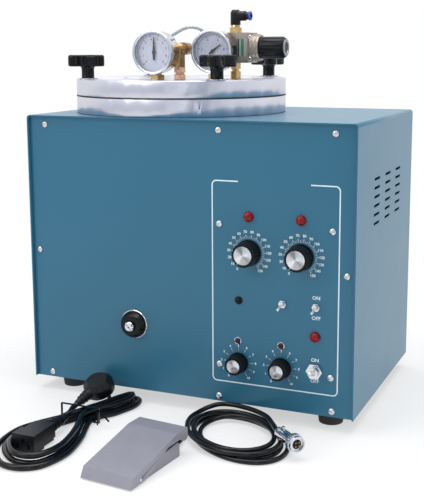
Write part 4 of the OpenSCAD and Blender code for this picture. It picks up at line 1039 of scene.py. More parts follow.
@dataclass
class ControlPanel:
    """The printed controller field with its knobs, lamps and toggles."""

    dressing: Dressing
    face: float = FRONT_FACE
    left: float = 35.5
    right: float = 181.0
    low: float = 41.3
    high: float = 269.0
    corner: float = 5.0
    line: float = 1.35
    title_from: float = 66.0
    title_to: float = 149.0
    knob_gap: float = 0.4
    scales: tuple[Scale, ...] = (
        Scale(78.6, 191.0, 15.8, 45, 15, 150, 2.6, 4.2, 3.4, 3.0),
        Scale(138.6, 191.0, 15.8, 45, 15, 150, 2.6, 4.2, 3.4, 3.0),
        Scale(66.5, 65.0, 13.4, 10, 10, 10, 3.0, 4.0, 3.0, 2.8),
        Scale(117.0, 65.0, 13.4, 10, 10, 10, 3.0, 4.0, 3.0, 2.8),
    )
    knobs: tuple[tuple[str, float, float], ...] = (
        ("wax_temp_knob", 29.0, 18.0),
        ("valve_temp_knob", 29.0, 18.0),
        ("vacuum_time_knob", 23.5, 16.0),
        ("injection_time_knob", 23.5, 16.0),
    )
    lamps: tuple[tuple[str, Bulb, float, float], ...] = (
        ("pot_heat_lamp", Bulb.RED_DOME, 78.6, 230.8),
        ("valve_heat_lamp", Bulb.RED_DOME, 138.6, 230.8),
        ("power_lamp", Bulb.RED_DOME, 155.7, 104.7),
        ("ready_lamp", Bulb.BLACK_DOME, 67.0, 136.6),
        ("vacuum_lamp", Bulb.RINGED, 66.3, 90.6),
        ("injection_lamp", Bulb.RINGED, 117.0, 90.5),
    )
    switch_words: tuple[tuple[str, float, float], ...] = (
        ("ON", 156.3, 147.6),
        ("OFF", 156.3, 125.2),
        ("ON", 155.6, 78.4),
        ("OFF", 155.6, 55.0),
    )

    def build(self) -> None:
        """Print the field, then build the knobs, lamps and toggles."""
        self.print_field()
        for (name, width, height), scale in zip(self.knobs, self.scales):
            self.knob(name, scale.x, scale.z, width, height)
        for lamp in self.lamps:
            self.lamp(*lamp)
        for lever in ("auto_manual_lever", "vacuum_lever", "power_lever"):
            self.dressing.dress(lever, NICKEL_BAT, 0.0)
        self.dressing.dress("panel_controls", CHROME, 0.25)

    def print_field(self) -> None:
        """Print the frame line, the scales, ON and OFF."""
        ink = Form()
        self.frame_line(ink)
        for scale in self.scales:
            scale.build(ink, self.face)
        for text, x, z in self.switch_words:
            ink.words(text, 4.1, seat((x, self.face - WORD_LIFT, z), Way.FRONT), 0.09)
        for x, low, high in ((66.4, 79.5, 85.4), (117.0, 79.5, 85.2)):
            place = seat((x, self.face, low), Way.FRONT)
            ink.block((-0.3, 0, INK_FOOT), (0.3, high - low, INK_TOP), place)
        ink.piece("panel_printing", WHITE_INK, "cabinet", Slot.DIAL)

    def frame_line(self, ink: Form) -> None:
        """Print the rounded frame line, open where its title would stand."""
        line: list[Flat] = [(self.title_to, self.high)]
        corners = (
            (self.right, self.high, 90.0),
            (self.right, self.low, 0.0),
            (self.left, self.low, -90.0),
            (self.left, self.high, -180.0),
        )
        for x, z, start in corners:
            inward = (-1 if x == self.right else 1, -1 if z == self.high else 1)
            mid = (x + inward[0] * self.corner, z + inward[1] * self.corner)
            for k in range(9):
                turn = math.radians(start - 90 * k / 8)
                reach = (self.corner * math.cos(turn), self.corner * math.sin(turn))
                line.append((mid[0] + reach[0], mid[1] + reach[1]))
        line.append((self.title_from, self.high))
        rows: list[list[Point]] = []
        for i, (x, z) in enumerate(line):
            a, b = line[max(i - 1, 0)], line[min(i + 1, len(line) - 1)]
            way = Vector((b[0] - a[0], b[1] - a[1])).normalized() * self.line / 2
            rows.append(
                [
                    (x - way.y, self.face - INK_FOOT, z + way.x),
                    (x + way.y, self.face - INK_FOOT, z - way.x),
                    (x + way.y, self.face - INK_TOP, z - way.x),
                    (x - way.y, self.face - INK_TOP, z + way.x),
                ]
            )
        ink.loft(rows)

    def knob(self, name: str, x: float, z: float, width: float, height: float) -> None:
        """Dress a control knob, and give it its foil disc and its pointer line."""
        self.dressing.dress(name, BLACK_ABS, 0.2)
        front = self.face - self.knob_gap - height
        reach = width / 2 - 4.3
        disc = Form().turned(
            [(reach, -0.1), (reach, 0.12), (reach - 0.5, 0.32), (0, 0.2)],
            seat((x, front, z), Way.FRONT), 72,
        )
        disc.piece(name + "_disc", spun_disc(name + "_foil", (x, front, z)), name, Slot.ALUMINIUM)
        turn = math.radians(-145)
        line = Form()
        shoulder = width / 2 - 1.2
        for near, far, low, high in (
            (reach - 0.2, shoulder - 1.2, -1.62, -1.5),
            (shoulder - 0.15, shoulder + 0.08, -height + 4.6, -2.2),
        ):
            line.prism(spoke(turn, near, far, 0.5), low, high, seat((x, front, z), Way.FRONT))
        line.piece(name + "_pointer", WHITE_INK, name, Slot.DIAL)

    def lamp(self, name: str, kind: Bulb, x: float, z: float) -> None:
        """Build a lamp: a moulded dome, or a small lens in a metal ring."""
        place = seat((x, self.face, z), Way.FRONT)
        stem = [(0.0, -10.0), (3.0, -10.0), (3.0, -0.2)]
        if kind is Bulb.RED_DOME:
            dome = [(5.75, 0.0), (5.75, 1.6), (5.5, 1.9), (5.4, 2.4)]
            dome += [
                (5.4 * math.cos(math.radians(a)), 2.4 + 3.5 * math.sin(math.radians(a)))
                for a in (15, 30, 45, 58, 70, 80)
            ]
            bulb = Form().turned([*stem, *dome, (0, 5.95)], place, 48)
            made = bulb.piece(name, RED_ACRYLIC, "cabinet", Slot.LAMP, crease=50)
        elif kind is Bulb.BLACK_DOME:
            dome = [
                (3.1 * math.cos(math.radians(a)), 1.2 + 2.2 * math.sin(math.radians(a)))
                for a in (0, 20, 40, 60, 78)
            ]
            holder = [(4.5, 0.0), (4.5, 0.7), (4.1, 1.1), (3.3, 1.1)]
            bulb = Form().turned([*stem, *holder, *dome, (0, 3.4)], place, 40)
            made = bulb.piece(name, BLACK_PHENOLIC, "cabinet", Slot.KNOB, crease=50)
        else:
            lens = Form().turned(
                [*stem, (3.0, 1.0), (2.8, 1.9), (2.0, 2.7), (1.0, 3.1), (0, 3.2)], place, 36
            )
            made = lens.piece(name, DARK_LENS, "cabinet", Slot.LAMP, crease=50)
            ring = Form().turned(
                [(3.1, 0.0), (4.5, 0.0), (4.5, 0.9), (4.2, 1.5), (3.5, 1.7), (3.1, 1.3)],
                place, 40, hollow=True,
            )
            ring.piece(name + "_ring", CHROME, "cabinet", Slot.CHROME)
        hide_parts("indicator_lamps")


# ---- Pot and lid ----


@dataclass
class PotAndLid:
    """The wax pot with its flange, and the lid with its clamp knobs."""

    dressing: Dressing
    lid_top: float = 376.0
    stud_circle: float = 118.0
    knob_turns: tuple[float, ...] = (60.0, 20.0, 350.0, 285.0)
    reach: float = 23.8
    head_low: float = 14.7

    def build(self) -> None:
        """Dress the turned plates, and build the four clamp knobs and their washers."""
        dress = self.dressing.dress
        dress("wax_pot", SPUN_ALUMINIUM, 0.4)
        dress("pot_flange", TURNED_ALUMINIUM, 0.5)
        dress("lid_plate", TURNED_ALUMINIUM, 0.3)
        dress("lid_gasket", RED_SILICONE, 0.4)
        dress("lid_studs", ZINC, 0.2)
        # A dark ring round the seam between flange and lid: painted shade for the shadowed gap
        # between the plates
        edge = Form().turned(
            [(127.4, 0.0), (128.6, 0.0), (128.6, 0.9), (127.4, 0.9)],
            seat((*POT_AXIS, self.lid_top - 20.95)), 160, hollow=True,
        )
        edge.piece("seam_shade_ring", BLACK_RUBBER, "cabinet", Slot.RUBBER)
        for i, turn in enumerate(self.knob_turns):
            self.clamp_knob(i, turn)

    def middle(self, i: int) -> Flat:
        """Where the axis of a clamp knob stands."""
        a = math.radians(45 + 90 * i)
        return (
            POT_AXIS[0] + self.stud_circle * math.cos(a),
            POT_AXIS[1] + self.stud_circle * math.sin(a),
        )

    def edge(self, theta: float) -> float:
        """Reach of the three-lobed head in a direction from one lobe, in radians.

        Args:
            theta: The direction.

        Returns:
            Distance from the axis to the edge.
        """
        core = self.reach * 0.46
        share = (1 + math.cos(3 * theta)) / 2
        return core + (self.reach - core) * share**1.2

    def outline(self, inset: float, count: int = 120) -> list[Flat]:
        """The head's outline, its corners softened, drawn in by an inset."""
        raw = [self.edge(2 * math.pi * k / count) for k in range(count)]
        ring = [
            Vector((r * math.cos(2 * math.pi * k / count), r * math.sin(2 * math.pi * k / count)))
            for k, r in enumerate(raw)
        ]
        drawn = []
        for k, p in enumerate(ring):
            way = (ring[(k + 1) % count] - ring[k - 1]).normalized()
            drawn.append((p.x - way.y * inset, p.y + way.x * inset))
        return drawn

    def clamp_knob(self, i: int, turn: float) -> None:
        """Mould one clamp knob and lay its washer.

        Args:
            i: Which stud it is on.
            turn: Where its first lobe points, in degrees.
        """
        x, y = self.middle(i)
        base = self.lid_top + 0.2
        place = seat((x, y, base), Way.UP, turn)
        levels = (
            (0.0, 1.8), (0.4, 0.8), (1.1, 0.2), (2.2, 0.0), (6.0, 0.0), (10.6, 0.0),
            (12.0, 0.3), (12.9, 0.9), (13.4, 1.9), (13.5, 3.2),
        )
        low = self.head_low - 0.2
        rows = [[(px, py, low + z) for px, py in self.outline(inset)] for z, inset in levels]
        head = Form().loft(rows, place)
        head.turned(
            [(4.5, 0), (7.1, 0), (7.5, 0.4), (7.5, 11.4), (7.9, 12.9), (8.8, 14.1), (10, 14.7),
             (10, 15.2), (4.5, 15.2)],
            place, 48, hollow=True,
        )
        node = f"star_knob_{i + 1}"
        made = head.piece(f"clamp_knob_{i + 1}", BLACK_PHENOLIC, node, Slot.KNOB, crease=60)
        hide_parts(node)
        washer = Form().turned(
            [(7.8, 0.0), (11.6, 0.0), (12.0, 0.3), (12.0, 0.9), (11.6, 1.2), (7.8, 1.2)],
            seat((x, y, self.lid_top)), 48, hollow=True,
        )
        washer.piece(f"clamp_washer_{i + 1}", ZINC, "lid", Slot.STEEL)


# ---- Gauges ----


@dataclass
class GaugeFace:
    """The dial of one gauge, printed with its own scale."""

    name: str
    x: float
    y: float
    z: float
    start: float
    sweep: float
    major: int
    minor: int
    numbers: tuple[str, ...]
    outer: float
    number_r: float
    number_size: float
    ink: Finish
    inner_ink: Finish
    depth: float = 6.7

    def turn(self, share: float) -> float:
        """The turn from straight up at a share of the scale, in radians."""
        return math.radians(self.start + self.sweep * share)

    def build(self) -> None:
        """Print the lines, the numbers and the coloured inner band."""
        place = seat((self.x, self.y + self.depth, self.z), Way.FRONT)
        marks, inner = Form(), Form()
        for i in range(self.minor + 1):
            turn = self.turn(i / self.minor)
            marks.ink(spoke(turn, self.outer - 1.5, self.outer, 0.16), place)
            if i < self.minor:
                a, b = turn, self.turn((i + 1) / self.minor)
                arc = [
                    (r * math.sin(t), r * math.cos(t))
                    for r, t in ((self.outer, a), (self.outer, b), (self.outer + 0.3, b),
                                 (self.outer + 0.3, a))
                ]
                marks.ink(arc, place)
        for i in range(self.major + 1):
            turn = self.turn(i / self.major)
            marks.ink(spoke(turn, self.outer - 2.8, self.outer, 0.32), place)
            across, up = self.number_r * math.sin(turn), self.number_r * math.cos(turn)
            at = Vector((across, up, WORD_LIFT))
            inner.words(self.numbers[i], self.number_size, place @ Matrix.Translation(at), 0.09)
        for i in range(2 * self.major + 1):
            turn = self.turn(i / (2 * self.major))
            near = self.number_r - self.number_size - 1.6
            inner.ink(spoke(turn, near, near + 1.4, 0.22), place)
        marks.piece(self.name + "_scale", self.ink, "lid", Slot.NEEDLE)
        inner.piece(self.name + "_numbers", self.inner_ink, "lid", Slot.NEEDLE)


@dataclass
class Gauges:
    """The two pressure gauges on the lid."""

    dressing: Dressing
    faces: tuple[GaugeFace, ...] = (
        GaugeFace(
            "pressure_gauge", -52.0, -2.0, 407.0, -135.0, 270.0, 9, 54,
            ("0", "1", "2", "3", "4", "5", "6", "7", "8", "9"), 20.6, 15.0, 3.1,
            BLACK_INK, RED_INK,
        ),
        GaugeFace(
            "regulator_gauge", 2.7, 39.0, 408.0, -135.0, 270.0, 5, 50,
            ("0", "2", "4", "6", "8", "10"), 19.6, 14.2, 3.1, BLACK_INK, BLUE_INK,
        ),
    )

    def build(self) -> None:
        """Dress the cases, the needles and the glass, and print the dials."""
        dress = self.dressing.dress
        dress("gauge_cases", CHROME, 0.7)
        dress("gauge_dials", DIAL_PAINT, 0.0)
        dress("gauge_windows", GAUGE_GLASS, 0.0)
        dress("pressure_needle", NEEDLE_PAINT, 0.0)
        dress("regulator_needle", NEEDLE_PAINT, 0.0)
        for face in self.faces:
            face.build()
            self.trim(face)

    def trim(self, face: GaugeFace) -> None:
        """Roll the bezel's lip."""
        place = seat((face.x, face.y, face.z), Way.FRONT)
        lip = Form().turned(
            [(22.1, -0.9), (22.1, 0.1), (22.7, 0.7), (23.8, 0.9), (24.7, 0.5), (25.15, -0.4),
             (25.2, -1.6), (24.9, -1.9), (24.0, -1.2), (22.9, -0.9)],
            place, 96, hollow=True,
        )
        lip.piece(face.name + "_bezel", CHROME, "lid", Slot.CHROME, crease=60)


# ---- Air line ----


@dataclass
class AirLine:
    """The regulator, its fittings and the clear tube on the lid."""

    dressing: Dressing
    port: Flat = (16.0, 83.0)
    middle_z: float = 412.0
    arm_z: float = 449.0
    tube_route: tuple[Spot, ...] = (
        (-84, 73, 382), (-84, 73, 390), (-82.5, 73, 404), (-75, 73, 418), (-60, 72.5, 428),
        (-40, 72.5, 436), (-25, 75, 433), (-18.5, 80.5, 420), (-14, 83, 412.6), (-8, 83, 412),
        (-4.96, 83, 412),
    )

    def build(self) -> None:
        """Dress the fittings, and build the tube, the labels and the rings."""
        dress = self.dressing.dress
        dress("brass_fittings", BRASS, 0.3)
        dress("brass_elbow", FORGED_BRASS, 0.8)
        dress("elbow_nut", PINK_BRASS, 0.4)
        dress("regulator_body", CHAMPAGNE, 0.8)
        dress("regulator_knob", BLACK_ABS, 0.3)
        dress("push_in_elbow", BLACK_NYLON, 0.8)
        tube = Form().tube(smooth_route(self.tube_route, 2.0), 2.0, 20, 1.25)
        made = tube.piece("clear_tube", CLEAR_TUBE, "lid", Slot.CLEAR, crease=60)
        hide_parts("air_tube")
        self.regulator_trim()
        self.release_ring()

    def regulator_trim(self) -> None:
        """Give the regulator its label, its screws, its ribs and its grey end ring."""
        x, y = self.port
        front = y - 17.5
        for name, finish, near, far, lift in (
            ("regulator_label", GREY_LABEL, 9.0, 20.5, 0.0),
            ("regulator_stripe", GREEN_LABEL, 14.2, 17.4, 0.1),
            ("regulator_mark", BLACK_INK, 9.6, 11.4, 0.1),
        ):
            film = Form().block(
                (near, -10, lift), (far, 10, lift + 0.1), seat((x, front, self.middle_z), Way.FRONT)
            )
            film.piece(name, finish, "lid", Slot.CHAMPAGNE)
        screws = Form()
        for across in (-12.5, 25.0):
            for up in (-12.5, 12.5):
                place = seat((x + across, front, self.middle_z + up), Way.FRONT)
                screws.turned(
                    [(1.1, -0.2), (2.1, -0.2), (2.1, 0.7), (1.7, 1.1), (1.1, 1.1), (1.1, 0.3)],
                    place, 24, hollow=True,
                )
        screws.piece("regulator_screws", ZINC, "lid", Slot.STEEL)
        ribs = Form()
        for along in (40.2, 44.4):
            ribs.turned(
                [(14.6, 0), (15.6, 0), (15.9, 0.4), (15.9, 1.6), (15.6, 2.0), (14.6, 2.0)],
                seat((along, y, self.middle_z), Way.RIGHT), 64, hollow=True,
            )
        ribs.piece("regulator_ribs", CHAMPAGNE, "lid", Slot.CHAMPAGNE)
        ring = Form().turned(
            [(6.2, 0.0), (9.6, 0.0), (10.2, -0.1), (10.2, 0.5), (9.8, 0.8), (6.6, 0.8)],
            seat((79.24, y, self.middle_z), Way.RIGHT), 48, hollow=True,
        )
        ring.piece("regulator_knob_ring", GREY_CAP, "regulator_knob", Slot.STEEL)

    def release_ring(self) -> None:
        """Set the blue release ring in the mouth of the push-in elbow."""
        x, y = self.port
        ring = Form().turned(
            [(3.1, 0.0), (4.4, 0.0), (4.4, 1.0), (5.3, 1.2), (5.5, 1.8), (5.3, 2.9), (4.6, 3.3),
             (3.1, 3.3)],
            seat((x + 16.6, y, self.arm_z), Way.RIGHT), 40, hollow=True,
        )
        ring.piece("release_ring", BLUE_ACETAL, "push_in_elbow", Slot.PLASTIC)


# ---- Nozzle ----


@dataclass
class Nozzle:
    """The injection nozzle on the front."""

    dressing: Dressing
    place: Spot = (-64.8, FRONT_FACE, 95.0)

    def build(self) -> None:
        """Dress the cap and the tip, and lay the thin plate behind the cap."""
        self.dressing.dress("nozzle_cap", BLACK_PHENOLIC, 0.8)
        self.dressing.dress("nozzle_tip", CHROME, 0.3)
        self.dressing.dress("nozzle_spring", SPRING_WIRE, 0.2)
        plate = Form().turned(
            [(15.0, 0.0), (16.9, 0.0), (17.1, 0.3), (16.7, 0.8), (16.0, 0.9), (15.0, 0.6)],
            seat(self.place, Way.FRONT), 64, hollow=True,
        )
        plate.piece("nozzle_plate", CHROME, "cabinet", Slot.CHROME)


# ---- Pedal ----


@dataclass
class Pedal:
    """The cast foot pedal."""

    dressing: Dressing

    def build(self) -> None:
        """Dress the castings, the pin and the switch."""
        dress = self.dressing.dress
        dress("pedal_tread", PEDAL_PAINT, 1.0)
        dress("pedal_base", PEDAL_PAINT, 0.6)
        dress("pedal_pin", ZINC, 0.3)
        dress("pedal_spring", SPRING_WIRE, 0.2)
        dress("pedal_switch", BLACK_NYLON, 0.3)
        dress("pedal_gland", BLACK_RUBBER, 0.4)


# ---- Cords ----


def ease(a: float, b: float, x: float) -> float:
    """A smooth step from 0 at a to 1 at b."""
    share = min(1.0, max(0.0, (x - a) / (b - a)))
    return (1 - math.cos(math.pi * share)) / 2


@dataclass
class PedalCord:
    """The pedal's cable: out of its gland, coiled, and up to its round connector."""

    dressing: Dressing
    width: float = 5.4
    mid: Flat = (87.5, -90.0)
    turn: float = 139.0
    start: float = 45.0
    long_r: float = 50.5
    short_r: float = 36.0
    long_step: float = 10.4
    short_step: float = 6.1
    low: float = 2.8
    layer: float = 5.9
    turns: float = 4.39
    plug_turn: float = -40.8
    plug_l: float = 34.2
    plug: Spot = (137.4, -95.3, 18.2)
    gland_end: Spot = (38.232, -140.338, 5.4)
    gland_turn: float = -6.3

    def row(self, t: float) -> float:
        """How many columns out of the innermost the cable lies, after t turns."""
        out = 2 - ease(0.55, 0.9, t) - ease(1.55, 1.9, t) + ease(2.6, 2.95, t)
        return out + ease(3.6, 3.95, t) - 1.8 * ease(4.15, 4.39, t)

    def lift(self, t: float) -> float:
        """How many layers up the cable lies, after t turns."""
        return ease(1.98, 2.3, t) + ease(4.06, 4.2, t) + 0.6 * ease(4.2, 4.39, t)

    def at(self, t: float) -> Vector:
        """The cable's middle after t turns of the coil."""
        w, turn = math.radians(self.start - 360 * t), math.radians(self.turn)
        x = (self.long_r + self.long_step * self.row(t)) * math.cos(w)
        y = (self.short_r + self.short_step * self.row(t)) * math.sin(w)
        return Vector(
            (
                self.mid[0] + x * math.cos(turn) - y * math.sin(turn),
                self.mid[1] + x * math.sin(turn) + y * math.cos(turn),
                self.low + self.layer * self.lift(t),
            )
        )

    def route(self) -> list[Vector]:
        """The whole cable's middle, from the gland to the connector."""
        way = Vector(
            (-math.sin(math.radians(self.gland_turn)), math.cos(math.radians(self.gland_turn)), 0)
        )
        out = Vector(self.gland_end)
        lead = [out, out + self.width * way, Vector((37.5, -125, 4.2)), Vector((34.8, -113, 3.3)),
                Vector((31.6, -101, 2.9))]
        first = (self.at(0.01) - self.at(0)).normalized()
        begin = self.at(0) - self.width * first
        loops = [self.at(i / 24) for i in range(math.floor(self.turns * 24) + 1)]
        along = math.radians(self.plug_turn)
        to_plug = Vector((math.cos(along), math.sin(along), 0))
        plug = Vector(self.plug)
        end = [Vector((121.5, -73.5, self.plug[2] - 1)), Vector((128, -83.8, self.plug[2])),
               plug - self.width * to_plug, plug]
        return smooth_route([*lead, begin - self.width * first, begin, *loops, *end], CORD_STEP)

    def build(self) -> None:
        """Lay the cable, and dress its connector."""
        dress = self.dressing.dress
        shell = dress("cable_connector", CHROME, 0.3)
        ring = dress("coupling_ring", CHROME, 0.25)
        route = self.route()
        cable = Form().tube(route, self.width / 2, CORD_SIDES)
        made = cable.piece("pedal_cord", BLACK_PVC, "cabinet", Slot.CORD, crease=60)
        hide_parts("pedal_cable", "pedal_coil")
        insert = Form()
        along = math.radians(self.plug_turn)
        way = Vector((math.cos(along), math.sin(along), 0))
        place = aimed(Vector(self.plug) + self.plug_l * way, way)
        insert.turned([(4.9, 0), (4.9, 1.4), (4.4, 1.8), (0, 1.8)], place, 40)
        face = insert.piece("connector_insert", BLACK_NYLON, "cabinet", Slot.PLASTIC)
        pins = Form()
        for corner in range(4):
            a = math.radians(45 + 90 * corner)
            pins.turned(
                [(0.75, 1.0), (0.75, 3.2), (0.4, 3.6), (0, 3.6)],
                place @ Matrix.Translation(PIN_CIRCLE * Vector((math.cos(a), math.sin(a), 0))), 16,
            )
        contacts = pins.piece("connector_pins", BRASS, "cabinet", Slot.BRASS)


@dataclass
class MainsLead:
    """The loose mains lead: its connector, the tied hank and the wall plug."""

    dressing: Dressing
    width: float = 6.6
    marks: tuple[Flat, ...] = (
        (-100, -107), (-91, -79), (-82.5, -53), (-72, -33), (-59, -34), (-56, -54), (-66, -83),
        (-78, -113), (-65, -152), (-56, -197), (-67, -233), (-97, -238), (-126, -207),
        (-131, -162), (-113, -128),
    )
    step: float = 7.2
    low: float = 3.4
    layer: float = 7.9
    loops: float = 2.9334
    socket: Flat = (-100.1, -209.8)
    start: Spot = (-99.5, -130.0, 11.7)
    plug: Spot = (-99.5, -54.5, 17.4)
    plug_turn: float = 18.0
    plug_tilt: float = 25.0
    plug_arm: float = 35.0
    plug_mid: float = 8.0

    def outline(self, t: float) -> Vector:
        """The hank's outline after a share t of its round."""
        marks, count = self.marks, len(self.marks)
        i = math.floor(t * count)
        u = t * count - i
        p, q, r, s = (Vector(marks[(i + k) % count]) for k in (-1, 0, 1, 2))
        return 0.5 * (
            2 * q + (r - p) * u + (2 * p - 5 * q + 4 * r - s) * u**2
            + (3 * q - p - 3 * r + s) * u**3
        )

    def at(self, t: float) -> Vector:
        """The lead's middle after t loops of the hank."""
        row = 1 - ease(1.7, 1.84, t) - ease(2.62, 2.76, t)
        lift = 1 - ease(0.78, 0.9, t)
        way = (self.outline(t + 0.01) - self.outline(t - 0.01)).normalized()
        q = self.outline(t) + self.step * row * Vector((way.y, -way.x))
        waist = 1.1 * (ease(-132, -113, q.y) - ease(-101, -82, q.y))
        return Vector((q.x, q.y, self.low + self.layer * lift + waist))

    def plug_way(self) -> Vector:
        """The direction in which the lead runs into the wall plug."""
        turn, tilt = math.radians(self.plug_turn), math.radians(self.plug_tilt)
        return Vector(
            (math.sin(turn), math.cos(turn) * math.cos(tilt), math.cos(turn) * math.sin(tilt))
        )

    def route(self) -> list[Vector]:
        """The whole lead's middle, from its connector to its wall plug."""
        start = Vector(self.start)
        out = Vector((start.x - self.socket[0], start.y - self.socket[1], 0)).normalized()
        tilt = math.radians(self.plug_tilt)
        raised = Vector((0, -math.sin(tilt), math.cos(tilt))) * self.plug_mid
        end = Vector(self.plug) + raised - self.plug_arm * self.plug_way()
        count = 2 * len(self.marks)
        hank = [self.at(i / count) for i in range(math.floor(self.loops * count + 0.01) + 1)]
        return smooth_route(
            [start, start + self.width * out, *hank, Vector((-112.8, -114, 4.3)),
             Vector((-110.6, -103.5, 5.9)), end - self.width * self.plug_way(), end],
            CORD_STEP,
        )

    def build(self) -> None:
        """Lay the lead, and dress its connector, its plug and its tie."""
        dress = self.dressing.dress
        socket = dress("mains_connector", BLACK_NYLON, 0.7)
        plug = dress("wall_plug", BLACK_NYLON, 0.8)
        tie = dress("twist_tie", BLACK_PVC, 0.2)
        route = self.route()
        lead = Form().tube(route, self.width / 2, CORD_SIDES)
        made = lead.piece("mains_lead", BLACK_PVC, "cabinet", Slot.CORD, crease=60)
        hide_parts("mains_hank")


# ---- Studio ----


@dataclass
class Panel:
    """A soft light."""

    name: str
    place: Spot
    aim: Spot
    width: float
    height: float
    power: float


@dataclass
class Card:
    """A grey card that only metal and gloss see."""

    name: str
    place: Spot
    width: float
    height: float
    shade: str


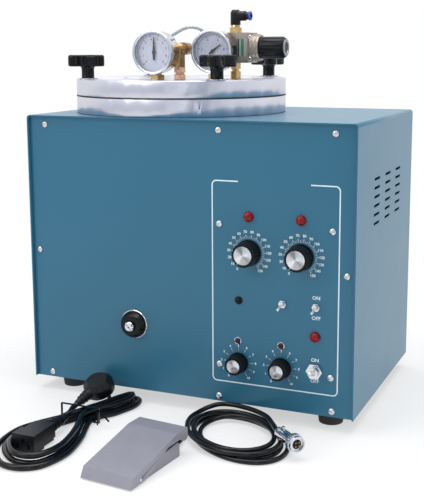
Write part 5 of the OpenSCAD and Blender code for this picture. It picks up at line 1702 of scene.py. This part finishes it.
@dataclass
class Studio:
    """The camera, the pale floor, the soft lights and the cards that gloss mirrors."""

    eye: Spot = (0.4557, -0.9889, 0.4093)
    azimuth: float = 22.599
    elevation: float = 9.398
    roll: float = -0.132
    focal_px: float = 961.74
    middle_px: Flat = (230.96, 209.28)
    lights: tuple[Panel, ...] = (
        Panel("top_light", (0.0, 0.1, 1.9), (0.0, 0.05, 0.3), 1.8, 1.6, 30.0),
        Panel("right_light", (2.0, -0.1, 0.9), (0.15, 0.1, 0.2), 1.4, 1.6, 11.0),
        Panel("front_light", (-0.75, -0.95, 0.95), (-0.1, 0.0, 0.25), 0.8, 0.8, 5.5),
        Panel("strip_light", (0.586, -1.26, 0.4), (-0.06, 0.1, 0.37), 0.08, 1.0, 0.35),
    )
    cards: tuple[Card, ...] = (
        Card("left_card", (-0.95, -0.95, 0.45), 1.7, 1.5, "#E2E4EA"),
        Card("middle_card", (0.03, -1.2, 0.4), 0.36, 1.3, "#B4C0CE"),
        Card("right_card", (0.60, -0.62, 0.4), 0.36, 1.3, "#7E8FA3"),
        Card("far_card", (1.2, -0.05, 0.5), 0.9, 1.5, "#F2F3F8"),
    )
    card_aim: Spot = (-0.06, 0.1, 0.37)
    room: float = 0.44

    def build(self) -> None:
        """Set the camera, the world, the lights, the cards and the floor."""
        scene = bpy.context.scene
        scene.view_settings.view_transform = "Standard"
        self.camera(scene)
        self.world(scene)
        for light in self.lights:
            self.light(light)
        for card in self.cards:
            self.card(card)
        self.floor()

    def camera(self, scene: bpy.types.Scene) -> None:
        """Stand the camera where the photograph was taken from."""
        lens = bpy.data.cameras.new("camera")
        lens.sensor_width = 36.0
        lens.lens = self.focal_px * lens.sensor_width / PHOTO_H
        lens.shift_x = (PHOTO_W / 2 - self.middle_px[0]) / PHOTO_H
        lens.shift_y = (self.middle_px[1] - PHOTO_H / 2) / PHOTO_H
        lens.clip_start, lens.clip_end = 0.05, 50.0
        eye = placed("camera", lens)
        a, e = math.radians(self.azimuth), math.radians(self.elevation)
        back = Vector((math.sin(a) * math.cos(e), -math.cos(a) * math.cos(e), math.sin(e)))
        aim = (-back).to_track_quat("-Z", "Y").to_matrix()
        eye.matrix_world = Matrix.Translation(self.eye) @ (
            aim @ Matrix.Rotation(math.radians(self.roll), 3, "Z")
        ).to_4x4()
        scene.camera = eye

    def world(self, scene: bpy.types.Scene) -> None:
        """White all round for the eye, metal and glass, and a plain level of light elsewhere."""
        sky = bpy.data.worlds.new("studio")
        scene.world = sky
        tree = empty_tree(sky)
        seen = seen_by(tree, "Camera", "Glossy", "Transmission")
        strength = ranged(tree, seen, self.room, 1.0)
        glow = add_node(
            tree, "ShaderNodeBackground", {"Color": linear("#FFFFFF"), "Strength": strength}
        )
        add_node(tree, "ShaderNodeOutputWorld", {"Surface": glow.outputs[0]})

    def light(self, panel: Panel) -> None:
        """Hang a soft light."""
        lamp = bpy.data.lights.new(panel.name, "AREA")
        lamp.shape = "RECTANGLE"
        lamp.size, lamp.size_y, lamp.energy = panel.width, panel.height, panel.power
        hung = placed(panel.name, lamp)
        hung.location = panel.place
        way = Vector(panel.aim) - Vector(panel.place)
        hung.rotation_euler = way.to_track_quat("-Z", "Y").to_euler()

    def card(self, card: Card) -> None:
        """Stand a grey card that only gloss sees, for the bands on the turned plates."""
        mesh = bpy.data.meshes.new(card.name)
        w, h = card.width / 2, card.height / 2
        mesh.from_pydata([(-w, -h, 0), (w, -h, 0), (w, h, 0), (-w, h, 0)], [], [(0, 1, 2, 3)])
        made = placed(card.name, mesh)
        made.location = card.place
        way = Vector(self.card_aim) - Vector(card.place)
        made.rotation_euler = Vector((way.x, way.y, 0)).to_track_quat("Z", "Y").to_euler()
        paint = bpy.data.materials.new(card.name)
        tree = empty_tree(paint)
        glow = add_node(tree, "ShaderNodeEmission", {"Color": linear(card.shade), "Strength": 1.0})
        add_node(tree, "ShaderNodeOutputMaterial", {"Surface": glow.outputs[0]})
        mesh.materials.append(paint)
        made.visible_camera = made.visible_diffuse = made.visible_shadow = False
        made.visible_transmission = False

    def floor(self) -> None:
        """Lay a pale round floor, which turns to pure white away from the part."""
        work = bmesh.new()
        bmesh.ops.create_circle(work, cap_ends=True, radius=12.0, segments=96)
        mesh = bpy.data.meshes.new("floor")
        work.to_mesh(mesh)
        work.free()
        made = placed("floor", mesh)
        paper = bpy.data.materials.new("white_paper_sweep")
        tree = empty_tree(paper)
        place = add_node(tree, "ShaderNodeTexCoord").outputs["Object"]
        fade = ranged(tree, vector_maths(tree, "LENGTH", place), 0.5, 1.0, 0.3, 0.9)
        share = maths(tree, "MULTIPLY", fade, seen_by(tree, "Camera", "Glossy"))
        matt = add_node(tree, "ShaderNodeBsdfDiffuse", {"Color": linear("#F4F5F6")})
        glow = add_node(tree, "ShaderNodeEmission", {"Color": linear("#FFFFFF"), "Strength": 1.0})
        mixed = add_node(
            tree, "ShaderNodeMixShader", {0: share, 1: matt.outputs[0], 2: glow.outputs[0]}
        )
        add_node(tree, "ShaderNodeOutputMaterial", {"Surface": mixed.outputs[0]})
        mesh.materials.append(paper)


def corners(box: tuple[Vector, Vector]) -> list[list[float]]:
    """A box's two corners as plain numbers."""
    return [list(corner) for corner in box]


def main() -> None:
    """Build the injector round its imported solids, one sub-assembly after another."""
    logging.basicConfig(level=logging.INFO, format="%(name)s: %(message)s")
    for extra in list(bpy.data.objects):
        bpy.data.objects.remove(extra)
    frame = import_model()
    dressing = Dressing(frame["nodes"])
    Studio().build()
    assemblies: tuple[Any, ...] = (
        PedalCord(dressing), MainsLead(dressing), Cabinet(dressing), RearConnections(dressing),
        ControlPanel(dressing), PotAndLid(dressing), Gauges(dressing), AirLine(dressing),
        Nozzle(dressing), Pedal(dressing),
    )
    for assembly in assemblies:
        assembly.build()
        LOG.info("%s is built", type(assembly).__name__)


if __name__ == "__main__":
    main()
